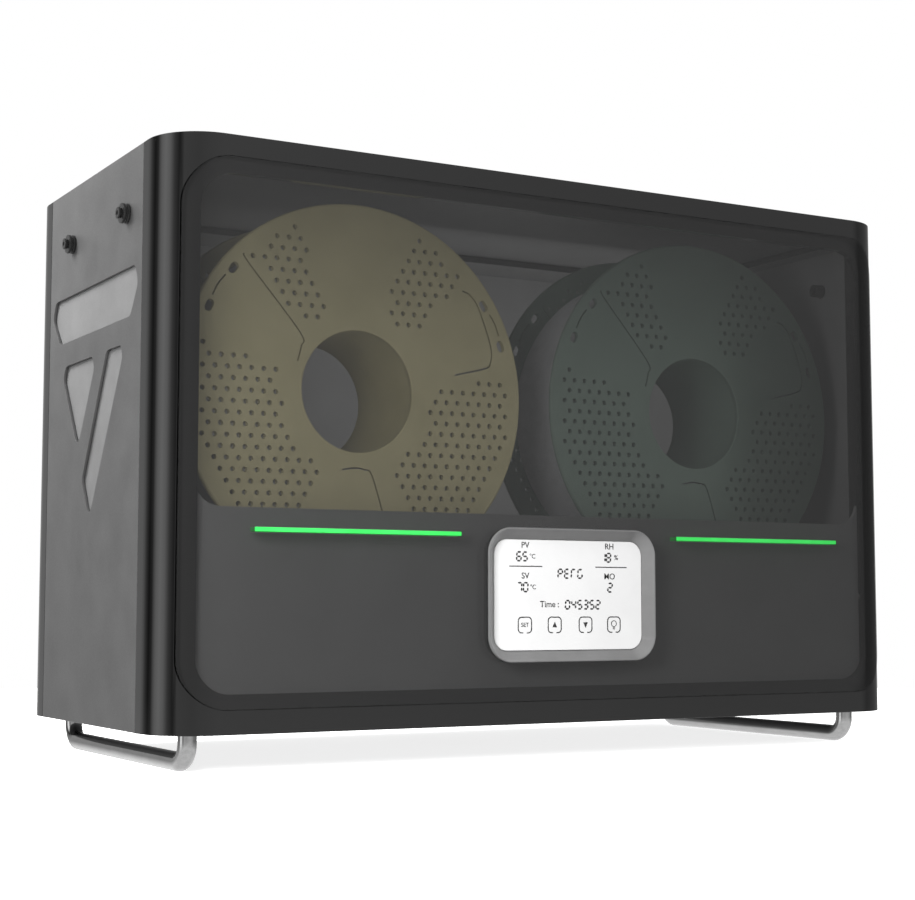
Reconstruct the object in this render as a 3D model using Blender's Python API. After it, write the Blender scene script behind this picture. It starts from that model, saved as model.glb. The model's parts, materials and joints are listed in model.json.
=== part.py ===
# Heated filament dryer box: smoked front window, hinged top lid, spools on rollers.
# Metres, +Z up. Front towards -Y, width along X. Origin on the ground under the
# middle of the box. The box stands on two bent rods.
import math

import bmesh
import bpy
from mathutils import Matrix, Vector

for leftover in list(bpy.data.objects):
    bpy.data.objects.remove(leftover)

# ---- driving sizes ----
gap = 0.0003                # between pieces that meet
width = 0.460
depth = 0.225
body_height = 0.292
foot_height = 0.019
corner_radius = 0.029
wall = 0.003
front_wall = 0.0094         # thick enough for the window's pocket and its ledge
front_inner_radius = 0.022
seam = 0.036                # front and rear shells end this far round the sides

pane_width = 0.4414
pane_low = 0.0121           # above the body's underside
pane_high = 0.2810
pane_radius = 0.024
pane_proud = 0.0005
pane_back = 0.0045          # in from the outer face
pocket_floor = 0.0048
ledge = 0.0101              # dark border beside the clear part
ledge_level = 0.0069        # the same above and below it
baffle_height = 0.110       # above the body's underside
baffle_fillet = 0.014

bezel_width = 0.106
bezel_height = 0.0707
bezel_radius = 0.014
bezel_border = 0.0059
bezel_body_inset = 0.0012     # from the rim to the body that passes through the window
bezel_proud = 0.002
bezel_centre = 0.06735      # above the body's underside
screen_depth = 0.003        # screen face behind the front plane
baffle_front = 0.0115       # from the front plane
baffle_back = 0.0135

bar_length = 0.115
bar_height = 0.0022
bar_offset = 0.126          # middle of a light bar from the centre line
bar_level = 0.0986

spool_radius = 0.100
spool_width = 0.065
spool_bore = 0.0323
spool_barrel = 0.040
flange_thickness = 0.003
filament_radius = 0.086
column_offset = 0.110       # spool axes from the centre line
spool_level = 0.174         # spool axes above the body's underside
row_front = 0.0695          # middle of each row from the front plane
row_rear = 0.147

roller_radius = 0.010
roller_length = 0.067
roller_angle = math.radians(36)
shaft_radius = 0.0029
deck_level = 0.066          # top deck's underside above the body's underside
deck_thickness = 0.003

outlet_level = 0.260
outlet_rows = {"front": 0.0586, "rear": 0.148}
outlet_thread = 0.0039      # radius of the stem that goes through the wall
outlet_collar = 0.0052
collet_radius = 0.0022
collet_travel = 0.0007

foot_rod = 0.0047
foot_bend = 0.010
foot_inset = 0.022
foot_leg_front = 0.0229
foot_leg_rear = 0.2017

lid_thickness = 0.0035
lid_rear = 0.1972           # from the front plane
hinge_line = 0.2015
hinge_rise = 0.001          # hinge axis above the top edge
knuckle_radius = 0.0035
pin_radius = 0.0015
knuckle_offset = 0.150

fan_size = 0.060
fan_place = 0.150           # fan axis from the front plane
inlet_place = 0.150         # inlet module from the centre line
inlet_level = 0.033         # inlet module above the body's underside
inlet_size = (0.056, 0.026)
rocker_tilt = math.radians(8)

front = -depth / 2
rear = depth / 2
side = width / 2
bottom = foot_height
top = foot_height + body_height
arc_steps = 7


# ---- materials ----
def make_material(name, colour, roughness, metallic=0.0, alpha=1.0, glow=0.0):
    material = bpy.data.materials.new(name)
    material.use_nodes = True
    shader = material.node_tree.nodes["Principled BSDF"]
    shader.inputs["Base Color"].default_value = (*colour, 1.0)
    shader.inputs["Roughness"].default_value = roughness
    shader.inputs["Metallic"].default_value = metallic
    shader.inputs["Alpha"].default_value = alpha
    shader.inputs["Emission Color"].default_value = (*colour, 1.0)
    shader.inputs["Emission Strength"].default_value = glow
    return material


gloss_black = make_material("gloss_black", (0.02, 0.02, 0.02), 0.18)
satin_grey = make_material("satin_grey", (0.14, 0.14, 0.14), 0.4)
pale_grey = make_material("pale_grey", (0.36, 0.36, 0.36), 0.45)
matte_black = make_material("matte_black", (0.03, 0.03, 0.03), 0.6)
chamber_grey = make_material("chamber_grey", (0.10, 0.10, 0.10), 0.6)
smoked = make_material("smoked", (0.05, 0.05, 0.05), 0.08, alpha=0.45)
steel = make_material("steel", (0.62, 0.62, 0.62), 0.25, metallic=1.0)
silver = make_material("silver", (0.30, 0.30, 0.30), 0.3)
screen_white = make_material("screen_white", (0.92, 0.92, 0.92), 0.2, glow=0.4)
green_light = make_material("green_light", (0.05, 0.75, 0.12), 0.3, glow=2.0)
board_green = make_material("board_green", (0.02, 0.15, 0.06), 0.5)
olive = make_material("olive", (0.22, 0.21, 0.10), 0.5)
grey_green = make_material("grey_green", (0.10, 0.14, 0.10), 0.5)
filament_grey = make_material("filament_grey", (0.09, 0.09, 0.09), 0.45)
rubber = make_material("rubber", (0.02, 0.02, 0.02), 0.8)


# ---- shape helpers ----
def arc(centre, radius, start, end, steps=arc_steps):
    points = []
    for step in range(steps + 1):
        angle = math.radians(start + (end - start) * step / steps)
        points.append((centre[0] + radius * math.cos(angle), centre[1] + radius * math.sin(angle)))
    return points


def rounded_rectangle(size_u, size_v, radius, centre=(0.0, 0.0), steps=arc_steps):
    points = []
    for quarter, (sign_u, sign_v) in enumerate(((1, 1), (-1, 1), (-1, -1), (1, -1))):
        middle = (centre[0] + sign_u * (size_u / 2 - radius), centre[1] + sign_v * (size_v / 2 - radius))
        points += arc(middle, radius, 90 * quarter, 90 * quarter + 90, steps)
    return points


def rectangle(low, high):
    return [(low[0], low[1]), (high[0], low[1]), (high[0], high[1]), (low[0], high[1])]


def place(axis, u, v, level):
    if axis == "X":
        return (level, u, v)
    if axis == "Y":
        return (u, level, v)
    return (u, v, level)


def finish_mesh(name, bm, material, smooth=False, origin=(0.0, 0.0, 0.0)):
    bmesh.ops.recalc_face_normals(bm, faces=bm.faces)
    bmesh.ops.translate(bm, verts=bm.verts, vec=-Vector(origin))
    mesh = bpy.data.meshes.new(name)
    bm.to_mesh(mesh)
    bm.free()
    part = bpy.data.objects.new(name, mesh)
    part.location = origin
    bpy.context.collection.objects.link(part)
    mesh.materials.append(material)
    if smooth:
        mesh.shade_smooth()
        mesh.set_sharp_from_angle(angle=math.radians(35))
    return part


def loft(name, axis, rings, material, smooth=False, origin=(0.0, 0.0, 0.0)):
    """Closed solid through outlines of equal length, each at its own level on the axis."""
    bm = bmesh.new()
    loops = []
    for outline, level in rings:
        loops.append([bm.verts.new(place(axis, u, v, level)) for u, v in outline])
    for lower, upper in zip(loops, loops[1:]):
        for i in range(len(lower)):
            j = (i + 1) % len(lower)
            bm.faces.new((lower[i], lower[j], upper[j], upper[i]))
    bm.faces.new(loops[0])
    bm.faces.new(loops[-1])
    return finish_mesh(name, bm, material, smooth, origin)


def prism(name, axis, outline, low, high, material, smooth=False, origin=(0.0, 0.0, 0.0)):
    return loft(name, axis, [(outline, low), (outline, high)], material, smooth, origin)


def box(name, low, high, material):
    return prism(name, "Z", rectangle(low[:2], high[:2]), low[2], high[2], material)


def framed_ring(name, axis, size, radius, centre, section, material):
    """Ring round a rounded rectangle. The section lists (inset, level) points."""
    bm = bmesh.new()
    loops = []
    for inset, level in section:
        outline = rounded_rectangle(size[0] - 2 * inset, size[1] - 2 * inset, radius - inset, centre)
        loops.append([bm.verts.new(place(axis, u, v, level)) for u, v in outline])
    for i in range(len(loops)):
        here, after = loops[i], loops[(i + 1) % len(loops)]
        for j in range(len(here)):
            k = (j + 1) % len(here)
            bm.faces.new((here[j], here[k], after[k], after[j]))
    return finish_mesh(name, bm, material)


def turned(name, direction, origin, profile, segments, material):
    """Ring solid turned about a line through origin. The profile lists (radius, distance)."""
    axis = Vector(direction)
    across = axis.orthogonal().normalized()
    bm = bmesh.new()
    verts = [bm.verts.new(across * radius + axis * along) for radius, along in profile]
    edges = [bm.edges.new((verts[i], verts[(i + 1) % len(verts)])) for i in range(len(verts))]
    bmesh.ops.spin(bm, geom=verts + edges, cent=(0, 0, 0), axis=axis, angle=math.tau, steps=segments,
                   use_duplicate=False)
    bmesh.ops.remove_doubles(bm, verts=bm.verts, dist=0.000001)
    bmesh.ops.translate(bm, verts=bm.verts, vec=origin)
    return finish_mesh(name, bm, material, smooth=True, origin=origin)


def cylinder(name, axis, start, end, radius, segments, material):
    """Cylinder from start to end, two points on one axis line."""
    start, end = Vector(start), Vector(end)
    bm = bmesh.new()
    bmesh.ops.create_cone(bm, cap_ends=True, segments=segments, radius1=radius, radius2=radius,
                          depth=(end - start).length)
    turn = {"X": Matrix.Rotation(math.pi / 2, 4, "Y"), "Y": Matrix.Rotation(math.pi / 2, 4, "X"),
            "Z": Matrix.Identity(4)}[axis]
    bmesh.ops.transform(bm, matrix=turn, verts=bm.verts)
    bmesh.ops.translate(bm, verts=bm.verts, vec=(start + end) / 2)
    return finish_mesh(name, bm, material, smooth=True)


def blocks(name, boxes, material):
    """Several separate boxes in one object, used as a cutter or added by a union."""
    bm = bmesh.new()
    for low, high in boxes:
        size = [high[i] - low[i] for i in range(3)]
        middle = [(high[i] + low[i]) / 2 for i in range(3)]
        matrix = Matrix.Translation(middle) @ Matrix.Diagonal((*size, 1.0))
        bmesh.ops.create_cube(bm, size=1.0, matrix=matrix)
    return finish_mesh(name, bm, material)


def hidden(tool):
    tool.hide_render = True
    tool.display_type = "WIRE"
    return tool


def combine(part, tool, operation="DIFFERENCE"):
    modifier = part.modifiers.new(tool.name, "BOOLEAN")
    modifier.operation = operation
    modifier.solver = "EXACT"
    modifier.object = hidden(tool)


# ---- housing ----
def shell_outline(inner_front, inner_radius, toward_rear):
    """C-shaped plan of a shell: outer corners, then back along the inside."""
    centre_x = side - corner_radius
    outer = [(-side, seam)] + arc((-centre_x, corner_radius), corner_radius, 180, 270)
    outer += arc((centre_x, corner_radius), corner_radius, 270, 360) + [(side, seam)]
    inner_x = side - wall - inner_radius
    inner_y = inner_front + inner_radius
    inner = [(side - wall, seam)] + arc((inner_x, inner_y), inner_radius, 360, 270)
    inner += arc((-inner_x, inner_y), inner_radius, 270, 180) + [(-side + wall, seam)]
    points = outer + inner
    if toward_rear:
        return [(x, rear - y) for x, y in points]
    return [(x, front + y) for x, y in points]


def cavity_outline(clearance, front_face=front_wall):
    """Plan of the space inside the walls, kept off them by the clearance."""
    radius = front_inner_radius - clearance
    near = (side - wall - front_inner_radius, front + front_face + front_inner_radius)
    far_radius = corner_radius - wall - clearance
    far = (side - corner_radius, rear - corner_radius)
    points = arc((-near[0], near[1]), radius, 180, 270) + arc(near, radius, 270, 360)
    points += arc(far, far_radius, 0, 90) + arc((-far[0], far[1]), far_radius, 90, 180)
    return points


pane_height = pane_high - pane_low
pane_middle = bottom + (pane_high + pane_low) / 2
opening_width = pane_width - 2 * ledge
opening_height = pane_height - 2 * ledge_level
opening_radius = pane_radius - 0.007


def layer_plan(outer_depth, inner_depth):
    """Plan of a layer that follows the front face round both front corners, between two depths."""
    centre_x = side - corner_radius
    curves = []
    for depth_in in (outer_depth, inner_depth):
        radius = corner_radius - depth_in
        curves.append(arc((-centre_x, corner_radius), radius, 180, 270)
                      + arc((centre_x, corner_radius), radius, 270, 360))
    return [(x, front + y) for x, y in curves[0] + curves[1][::-1]]


def bent_slab(name, outer_depth, inner_depth, growth, material):
    """Layer of the front cut to the window's rounded outline, which is widened by the growth."""
    slab = prism(name, "Z", layer_plan(outer_depth, inner_depth), bottom + 0.002, top - 0.002, material)
    outline = rounded_rectangle(pane_width + 2 * growth, pane_height + 2 * growth, pane_radius + growth,
                                (0, pane_middle))
    combine(slab, prism(name + "_outline", "Y", outline, front - 0.03, front + 0.03, material), "INTERSECT")
    return slab


def make_front_shell():
    shell = prism("front_shell", "Z", shell_outline(front_wall, front_inner_radius, False), bottom, top,
                  gloss_black, smooth=True)
    combine(shell, bent_slab("pocket_cutter", -0.01, pocket_floor, gap, gloss_black))
    opening = rounded_rectangle(opening_width, opening_height, opening_radius, (0, pane_middle))
    combine(shell, prism("opening_cutter", "Y", opening, front - 0.01, front + 0.03, gloss_black))


def make_rear_shell():
    shell = prism("rear_shell", "Z", shell_outline(wall, corner_radius - wall, True), bottom, top,
                  gloss_black, smooth=True)
    middle = (inlet_place, bottom + inlet_level)
    cutout = rounded_rectangle(inlet_size[0] + 2 * gap, inlet_size[1] + 2 * gap, 0.002, middle, 2)
    combine(shell, prism("inlet_cutter", "Y", cutout, rear - 0.01, rear + 0.01, gloss_black))
    slots = []
    for index in range(9):
        x = -0.150 + index * 0.009
        slots.append(((x, rear - 0.01, bottom + 0.018), (x + 0.003, rear + 0.01, bottom + 0.052)))
    combine(shell, blocks("rear_vent_cutter", slots, gloss_black))


# Decorative cut-outs in the side panels, as (distance from the front plane, height) corners.
grip_corners = [(0.1790, 0.2320), (0.0464, 0.2320), (0.0415, 0.2222), (0.0527, 0.2068), (0.1698, 0.2068),
                (0.1835, 0.2223)]
wedge_corners = [(0.1580, 0.1935), (0.1120, 0.1935), (0.1086, 0.1870), (0.1350, 0.1455), (0.1625, 0.1869)]
blade_corners = [(0.0890, 0.1938), (0.0660, 0.1938), (0.0638, 0.1870), (0.1135, 0.1065), (0.1265, 0.1286)]


def rounded_polygon(corners, radius, steps=3):
    """Polygon with each corner replaced by an arc tangent to both its sides."""
    points = []
    for index, corner in enumerate(corners):
        here = Vector(corner)
        before = (Vector(corners[index - 1]) - here).normalized()
        after = (Vector(corners[(index + 1) % len(corners)]) - here).normalized()
        half = before.angle(after) / 2
        reach = min(radius / math.tan(half), 0.45 * (Vector(corners[index - 1]) - here).length,
                    0.45 * (Vector(corners[(index + 1) % len(corners)]) - here).length)
        for step in range(steps + 1):
            t = step / steps
            start, end = here + before * reach, here + after * reach
            point = start * (1 - t) ** 2 + here * 2 * t * (1 - t) + end * t ** 2
            points.append((point.x, point.y))
    return points


def make_side(label, sign):
    panel_skin = 0.0015
    backing = 0.0012
    plan = rectangle((front + seam + gap, bottom), (rear - seam - gap, top))
    outer, inner = sign * side, sign * (side - panel_skin)
    panel = prism("side_panel_" + label, "X", plan, min(outer, inner), max(outer, inner), satin_grey)
    outer, inner = sign * (side - wall + backing), sign * (side - wall)
    back = prism("side_backing_" + label, "X", plan, min(outer, inner), max(outer, inner), pale_grey)
    for index, corners in enumerate((grip_corners, wedge_corners, blade_corners)):
        outline = [(front + y, bottom + z) for y, z in rounded_polygon(corners, 0.006)]
        cutter = prism(f"decor_cutter_{label}_{index}", "X", outline, -0.01 + sign * side, 0.01 + sign * side,
                       satin_grey)
        combine(panel, cutter)
    for index, row in enumerate(outlet_rows.values()):
        line = (front + row, bottom + outlet_level)
        hole = cylinder(f"outlet_cutter_{label}_{index}", "X", (sign * side - 0.01, *line),
                        (sign * side + 0.01, *line), outlet_thread + 0.0004, 16, satin_grey)
        combine(panel, hole)
        combine(back, hole)


def make_bottom_plate():
    plate = prism("bottom_plate", "Z", cavity_outline(gap), bottom, bottom + wall, matte_black)
    slots = []
    for index in range(9):
        y = front + fan_place - 0.032 + index * 0.008
        slots.append(((-0.023, y - 0.0015, bottom - 0.01), (0.023, y + 0.0015, bottom + 0.01)))
    combine(plate, blocks("bottom_vent_cutter", slots, matte_black))


def rod_sweep(name, path, radius, sides, material):
    """Rod along a path in a YZ plane, turned so that one of its flats faces out of each bend."""
    bm = bmesh.new()
    rings = []
    for index, point in enumerate(path):
        before = path[max(index - 1, 0)]
        after = path[min(index + 1, len(path) - 1)]
        tangent = (Vector(after) - Vector(before)).normalized()
        normal = tangent.cross(Vector((1, 0, 0)))
        ring = []
        for side_index in range(sides):
            angle = (side_index + 0.5) * math.tau / sides
            offset = normal * math.cos(angle) + Vector((1, 0, 0)) * math.sin(angle)
            ring.append(bm.verts.new(Vector(point) + offset * radius))
        rings.append(ring)
    for lower, upper in zip(rings, rings[1:]):
        for i in range(sides):
            j = (i + 1) % sides
            bm.faces.new((lower[i], lower[j], upper[j], upper[i]))
    bm.faces.new(rings[0])
    bm.faces.new(rings[-1])
    return finish_mesh(name, bm, material, smooth=True)


def make_foot(label, sign):
    sides = 12
    x = sign * (side - foot_inset)
    low = foot_rod * math.cos(math.pi / sides)
    y_near, y_far = front + foot_leg_front, front + foot_leg_rear
    path = [(x, y_near, bottom - gap)]
    path += [(x, y, z) for y, z in arc((y_near + foot_bend, low + foot_bend), foot_bend, 180, 270, 6)]
    path += [(x, y, z) for y, z in arc((y_far - foot_bend, low + foot_bend), foot_bend, 270, 360, 6)]
    path += [(x, y_far, bottom - gap)]
    rod_sweep("foot_rod_" + label, path, foot_rod, sides, steel)


# ---- front: window, lights, display ----
def make_window():
    pane = bent_slab("window_pane", -pane_proud, pane_back, 0.0, smoked)
    slot_size = (bar_length + 2 * gap, bar_height + 2 * gap)
    slots = []
    for sign in (-1, 1):
        low = (sign * bar_offset - slot_size[0] / 2, front - 0.01, bottom + bar_level - slot_size[1] / 2)
        high = (sign * bar_offset + slot_size[0] / 2, front + 0.01, bottom + bar_level + slot_size[1] / 2)
        slots.append((low, high))
    combine(pane, blocks("bar_slot_cutter", slots, smoked))
    body_inset = bezel_body_inset - gap
    hole = rounded_rectangle(bezel_width - 2 * body_inset, bezel_height - 2 * body_inset,
                             bezel_radius - body_inset, (0, bottom + bezel_centre))
    combine(pane, prism("display_cutter", "Y", hole, front - 0.01, front + 0.01, smoked))
    for label, sign in (("left", -1), ("right", 1)):
        low = (sign * bar_offset - bar_length / 2, front - pane_proud - 0.0002, bottom + bar_level - bar_height / 2)
        high = (sign * bar_offset + bar_length / 2, front + 0.006, bottom + bar_level + bar_height / 2)
        box("light_bar_" + label, low, high, green_light)


def make_display():
    back = front + 0.0055
    lip = front - pane_proud - gap
    section = [(0, lip), (bezel_body_inset, lip), (bezel_body_inset, back), (bezel_border, back),
               (bezel_border, front + screen_depth), (0.0006, front - bezel_proud), (0, front - bezel_proud + 0.0004)]
    framed_ring("display_bezel", "Y", (bezel_width, bezel_height), bezel_radius,
                (0, bottom + bezel_centre), section, silver)
    inset = bezel_border + gap
    face = rounded_rectangle(bezel_width - 2 * inset, bezel_height - 2 * inset, bezel_radius - inset,
                             (0, bottom + bezel_centre))
    prism("display_screen", "Y", face, front + screen_depth, front + 0.0094, screen_white)


def make_baffle():
    half = opening_width / 2 + 0.0002
    low, high = bottom + pane_low + 0.003, bottom + baffle_height
    lift = baffle_fillet
    right = arc((half - lift, high + lift), lift, 270, 350, 6)
    left = [(-x, z) for x, z in reversed(right)]
    outline = [(-half, low), (half, low), (half, right[-1][1])] + list(reversed(right))
    outline += list(reversed(left)) + [(-half, right[-1][1])]
    prism("front_baffle", "Y", outline, front + baffle_front, front + baffle_back, chamber_grey)


def make_control_board():
    near = front + baffle_back + gap
    middle = bottom + deck_level / 2 + 0.001
    board = box("control_board", (-0.055, near, middle - 0.027), (0.055, near + 0.0016, middle + 0.027),
                board_green)
    behind = near + 0.0014
    chips = [((-0.040, behind, middle - 0.010), (-0.020, near + 0.004, middle + 0.010)),
             ((-0.005, behind, middle - 0.006), (0.010, near + 0.0035, middle + 0.008)),
             ((0.025, behind, middle - 0.020), (0.045, near + 0.005, middle - 0.008)),
             ((0.022, behind, middle + 0.004), (0.034, near + 0.0045, middle + 0.018))]
    combine(board, blocks("control_board_chips", chips, board_green), "UNION")


# ---- top: frame, seal, lid and its hinge ----
mouth_front, mouth_rear = 0.022, 0.186
mouth_half = 0.213


def make_top():
    plate = prism("top_frame", "Z", cavity_outline(gap), top - 0.009, top - 0.006, matte_black)
    size = (2 * mouth_half, mouth_rear - mouth_front)
    centre = (0, front + (mouth_front + mouth_rear) / 2)
    mouth = rounded_rectangle(size[0], size[1], 0.012, centre, 4)
    combine(plate, prism("mouth_cutter", "Z", mouth, top - 0.02, top, matte_black))
    seal_low, seal_high = top - 0.006 + gap, top - 0.0005 - lid_thickness - gap
    margin = 0.007
    section = [(0, seal_low), (0.005, seal_low), (0.005, seal_high), (0, seal_high)]
    framed_ring("lid_gasket", "Z", (size[0] + 2 * margin, size[1] + 2 * margin), 0.012 + margin, centre,
                section, rubber)


hinge_axis = (0.0, front + hinge_line, top + hinge_rise)


def knuckle_spans(own_lid):
    spans = []
    for sign in (-1, 1):
        middle = sign * knuckle_offset
        if own_lid:
            spans.append((middle - 0.015, middle + 0.015))
        else:
            spans.append((middle - 0.036, middle - 0.0154))
            spans.append((middle + 0.0154, middle + 0.036))
    return spans


def add_knuckles(plate, own_lid, plate_edge):
    """Barrels round the hinge axis, each with an arm to its plate, and the pin's bore."""
    y, z = hinge_axis[1:]
    toward = -1 if own_lid else 1
    foot = top - lid_thickness + 0.0001
    for index, (start, end) in enumerate(knuckle_spans(own_lid)):
        outline = [(y - toward * (v - y), w) for v, w in arc((y, z), knuckle_radius, -60, 120, 8)]
        outline += [(plate_edge + toward * 0.006, top - 0.001), (plate_edge + toward * 0.006, foot),
                    (y, foot - 0.0002)]
        combine(plate, prism(f"{plate.name}_knuckle_{index}", "X", outline, start, end, matte_black), "UNION")
    for sign in (-1, 1):
        middle = sign * knuckle_offset
        bore = cylinder(f"{plate.name}_bore_{sign}", "X", (middle - 0.04, y, z), (middle + 0.04, y, z),
                        pin_radius + 0.0004, 16, matte_black)
        combine(plate, bore)


def make_lid():
    high = top - 0.0005
    low = high - lid_thickness
    clearance = 0.0007
    radius = front_inner_radius - clearance
    near = (side - wall - front_inner_radius, front + front_wall + front_inner_radius)
    edge = front + lid_rear
    half = near[0] + radius
    outline = arc((-near[0], near[1]), radius, 180, 270) + arc(near, radius, 270, 360)
    outline += [(half - 0.004, edge), (-half + 0.004, edge)]
    lid = prism("lid", "Z", outline, low, high, matte_black, origin=hinge_axis)
    notch = rounded_rectangle(0.060, 0.018, 0.008, (0, front + front_wall), 4)
    combine(lid, prism("finger_notch_cutter", "Z", notch, low - 0.01, high + 0.01, matte_black))
    add_knuckles(lid, True, edge)

    strip_edge = front + 2 * hinge_line - lid_rear
    far_radius = corner_radius - wall - gap
    far = (side - corner_radius, rear - corner_radius)
    reach = math.degrees(math.asin((strip_edge - far[1]) / far_radius))
    outline = arc(far, far_radius, reach, 90) + arc((-far[0], far[1]), far_radius, 90, 180 - reach)
    strip = prism("hinge_strip", "Z", outline, top - 0.006 + gap, high, matte_black)
    add_knuckles(strip, False, strip_edge)
    for label, sign in (("left", -1), ("right", 1)):
        middle = sign * knuckle_offset
        cylinder("hinge_pin_" + label, "X", (middle - 0.036, *hinge_axis[1:]), (middle + 0.036, *hinge_axis[1:]),
                 pin_radius, 12, steel)


# ---- chamber: deck, rollers, spools ----
deck_top = bottom + deck_level + deck_thickness
spool_axis = bottom + spool_level
roller_reach = spool_radius + roller_radius + gap
roller_level = spool_axis - roller_reach * math.cos(roller_angle)
roller_lines = sorted(sign * column_offset + turn * roller_reach * math.sin(roller_angle)
                      for sign in (-1, 1) for turn in (-1, 1))


def make_deck():
    deck = prism("chamber_deck", "Z", cavity_outline(gap, baffle_back + gap), bottom + deck_level, deck_top,
                 chamber_grey)
    fan_y = front + fan_place
    combine(deck, cylinder("fan_port_cutter", "Z", (0, fan_y, bottom), (0, fan_y, top), 0.026, 24, chamber_grey))
    slots = []
    for sign in (-1, 1):
        for index in range(6):
            y = front + 0.040 + index * 0.008
            x = sign * column_offset
            slots.append(((x - 0.02, y, bottom), (x + 0.02, y + 0.003, top)))
    combine(deck, blocks("deck_slot_cutter", slots, chamber_grey))


def make_cradle(label, near, far):
    """Upright plate with an open-topped notch for each roller shaft."""
    low, high = deck_top + gap, roller_level + 0.008
    half = roller_lines[-1] + 0.016
    notch = shaft_radius + gap
    outline = [(-half, low), (half, low), (half, high)]
    for x in reversed(roller_lines):
        outline += [(x + notch, high)] + arc((x, roller_level), notch, 360, 180, 6) + [(x - notch, high)]
    outline.append((-half, high))
    prism("roller_cradle_" + label, "Y", outline, front + near, front + far, matte_black)


def make_rollers():
    for index, x in enumerate(roller_lines, 1):
        cylinder(f"roller_shaft_{index}", "Y", (x, front + 0.0265, roller_level), (x, front + 0.192, roller_level),
                 shaft_radius, 12, steel)
        for row_name, row in (("front", row_front), ("rear", row_rear)):
            half, bore = roller_length / 2, shaft_radius + 0.0004
            profile = [(bore, -half), (roller_radius, -half), (roller_radius, half), (bore, half)]
            turned(f"roller_{row_name}_{index}", (0, 1, 0), (x, front + row, roller_level), profile, 16, rubber)


def make_spool(label, sign, colour):
    half = spool_width / 2
    inside = half - flange_thickness
    centre = (sign * column_offset, front + row_front, spool_axis)
    profile = [(spool_bore, -half), (spool_radius, -half), (spool_radius, -inside), (spool_barrel, -inside),
               (spool_barrel, inside), (spool_radius, inside), (spool_radius, half), (spool_bore, half)]
    turned("spool_" + label, (0, 1, 0), centre, profile, 48, colour)
    wound = inside - gap
    profile = [(spool_barrel + gap, -wound), (filament_radius, -wound), (filament_radius, wound),
               (spool_barrel + gap, wound)]
    turned("filament_" + label, (0, 1, 0), centre, profile, 48, filament_grey)


def make_outlet(label, sign, row):
    """Push-fit filament outlet through the side wall, with a sliding release collet."""
    centre = (sign * side, front + row, bottom + outlet_level)
    inner, neck, face = collet_radius + 0.0004, 0.0040, 0.0037
    profile = [(inner, -0.009), (outlet_thread, -0.009), (outlet_thread, gap), (outlet_collar, gap),
               (outlet_collar, 0.0014), (neck, 0.0014), (neck, 0.0024), (outlet_collar, 0.0024),
               (outlet_collar, face), (inner, face)]
    turned("outlet_" + label, (sign, 0, 0), centre, profile, 14, matte_black)
    bore, lip = 0.0012, 0.0030
    head = face + gap + collet_travel
    profile = [(bore, -0.004), (collet_radius, -0.004), (collet_radius, head), (lip, head),
               (lip, head + 0.001), (bore, head + 0.001)]
    turned("collet_" + label, (sign, 0, 0), centre, profile, 14, matte_black)


# ---- electrics under the deck ----
def make_fan_and_heater():
    fan_y = front + fan_place
    half = fan_size / 2
    high = bottom + deck_level - gap
    low = high - 0.015
    outline = rounded_rectangle(fan_size, fan_size, 0.004, (0, fan_y), 2)
    frame = prism("fan_frame", "Z", outline, low, high, matte_black)
    combine(frame, cylinder("fan_bore_cutter", "Z", (0, fan_y, low - 0.01), (0, fan_y, high + 0.01), 0.027, 32,
                            matte_black))
    bar = 0.002
    reach = 0.028
    cross = [(reach, bar), (bar, bar), (bar, reach), (-bar, reach), (-bar, bar), (-reach, bar),
             (-reach, -bar), (-bar, -bar), (-bar, -reach), (bar, -reach), (bar, -bar), (reach, -bar)]
    cross = [(x, fan_y + y) for x, y in cross]
    combine(frame, prism("fan_spider", "Z", cross, low + 0.0002, low + 0.002, matte_black), "UNION")

    hub_low, hub_high = low + 0.003, high - 0.0015
    rotor = cylinder("fan_rotor", "Z", (0, fan_y, hub_low), (0, fan_y, hub_high), 0.011, 20, matte_black)
    rotor.data.transform(Matrix.Translation((0, -fan_y, 0)))
    rotor.location = (0, fan_y, 0)
    bm = bmesh.new()
    blades = 7
    middle = (hub_low + hub_high) / 2
    for index in range(blades):
        blade = Matrix.Translation((0.018, 0, middle)) @ Matrix.Rotation(math.radians(38), 4, "X")
        blade = blade @ Matrix.Diagonal((0.0155, 0.011, 0.0014, 1.0))
        turn = Matrix.Translation((0, fan_y, 0)) @ Matrix.Rotation(math.tau * index / blades, 4, "Z")
        bmesh.ops.create_cube(bm, size=1.0, matrix=turn @ blade)
    combine(rotor, finish_mesh("fan_blades", bm, matte_black), "UNION")

    fins = 9
    half_length, base, fin_high = 0.038, low - gap - 0.024, low - gap
    pitch = 2 * half_length / (2 * fins - 1)
    comb = [(-half_length, base), (half_length, base)]
    for index in range(fins):
        edge = half_length - 2 * index * pitch
        comb += [(edge, fin_high), (edge - pitch, fin_high)]
        if index < fins - 1:
            comb += [(edge - pitch, base + 0.004), (edge - 2 * pitch, base + 0.004)]
    prism("heater", "Y", comb, fan_y - half + 0.004, fan_y + half - 0.004, steel)


def make_power_board():
    low = bottom + wall + 0.006
    x, y = 0.125, front + 0.110
    board = box("power_board", (x - 0.060, y - 0.040, low), (x + 0.060, y + 0.040, low + 0.0016), board_green)
    root = low + 0.0014
    pieces = [((x - 0.020, y - 0.020, root), (x + 0.015, y + 0.012, low + 0.030)),
              ((x - 0.055, y - 0.035, root), (x - 0.030, y - 0.030, low + 0.032)),
              ((x + 0.025, y + 0.005, root), (x + 0.045, y + 0.030, low + 0.020)),
              ((x + 0.022, y - 0.030, root), (x + 0.034, y - 0.018, low + 0.024)),
              ((x + 0.040, y - 0.030, root), (x + 0.052, y - 0.018, low + 0.024)),
              ((x - 0.052, y + 0.018, root), (x - 0.020, y + 0.032, low + 0.012))]
    combine(board, blocks("power_board_parts", pieces, board_green), "UNION")


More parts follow.
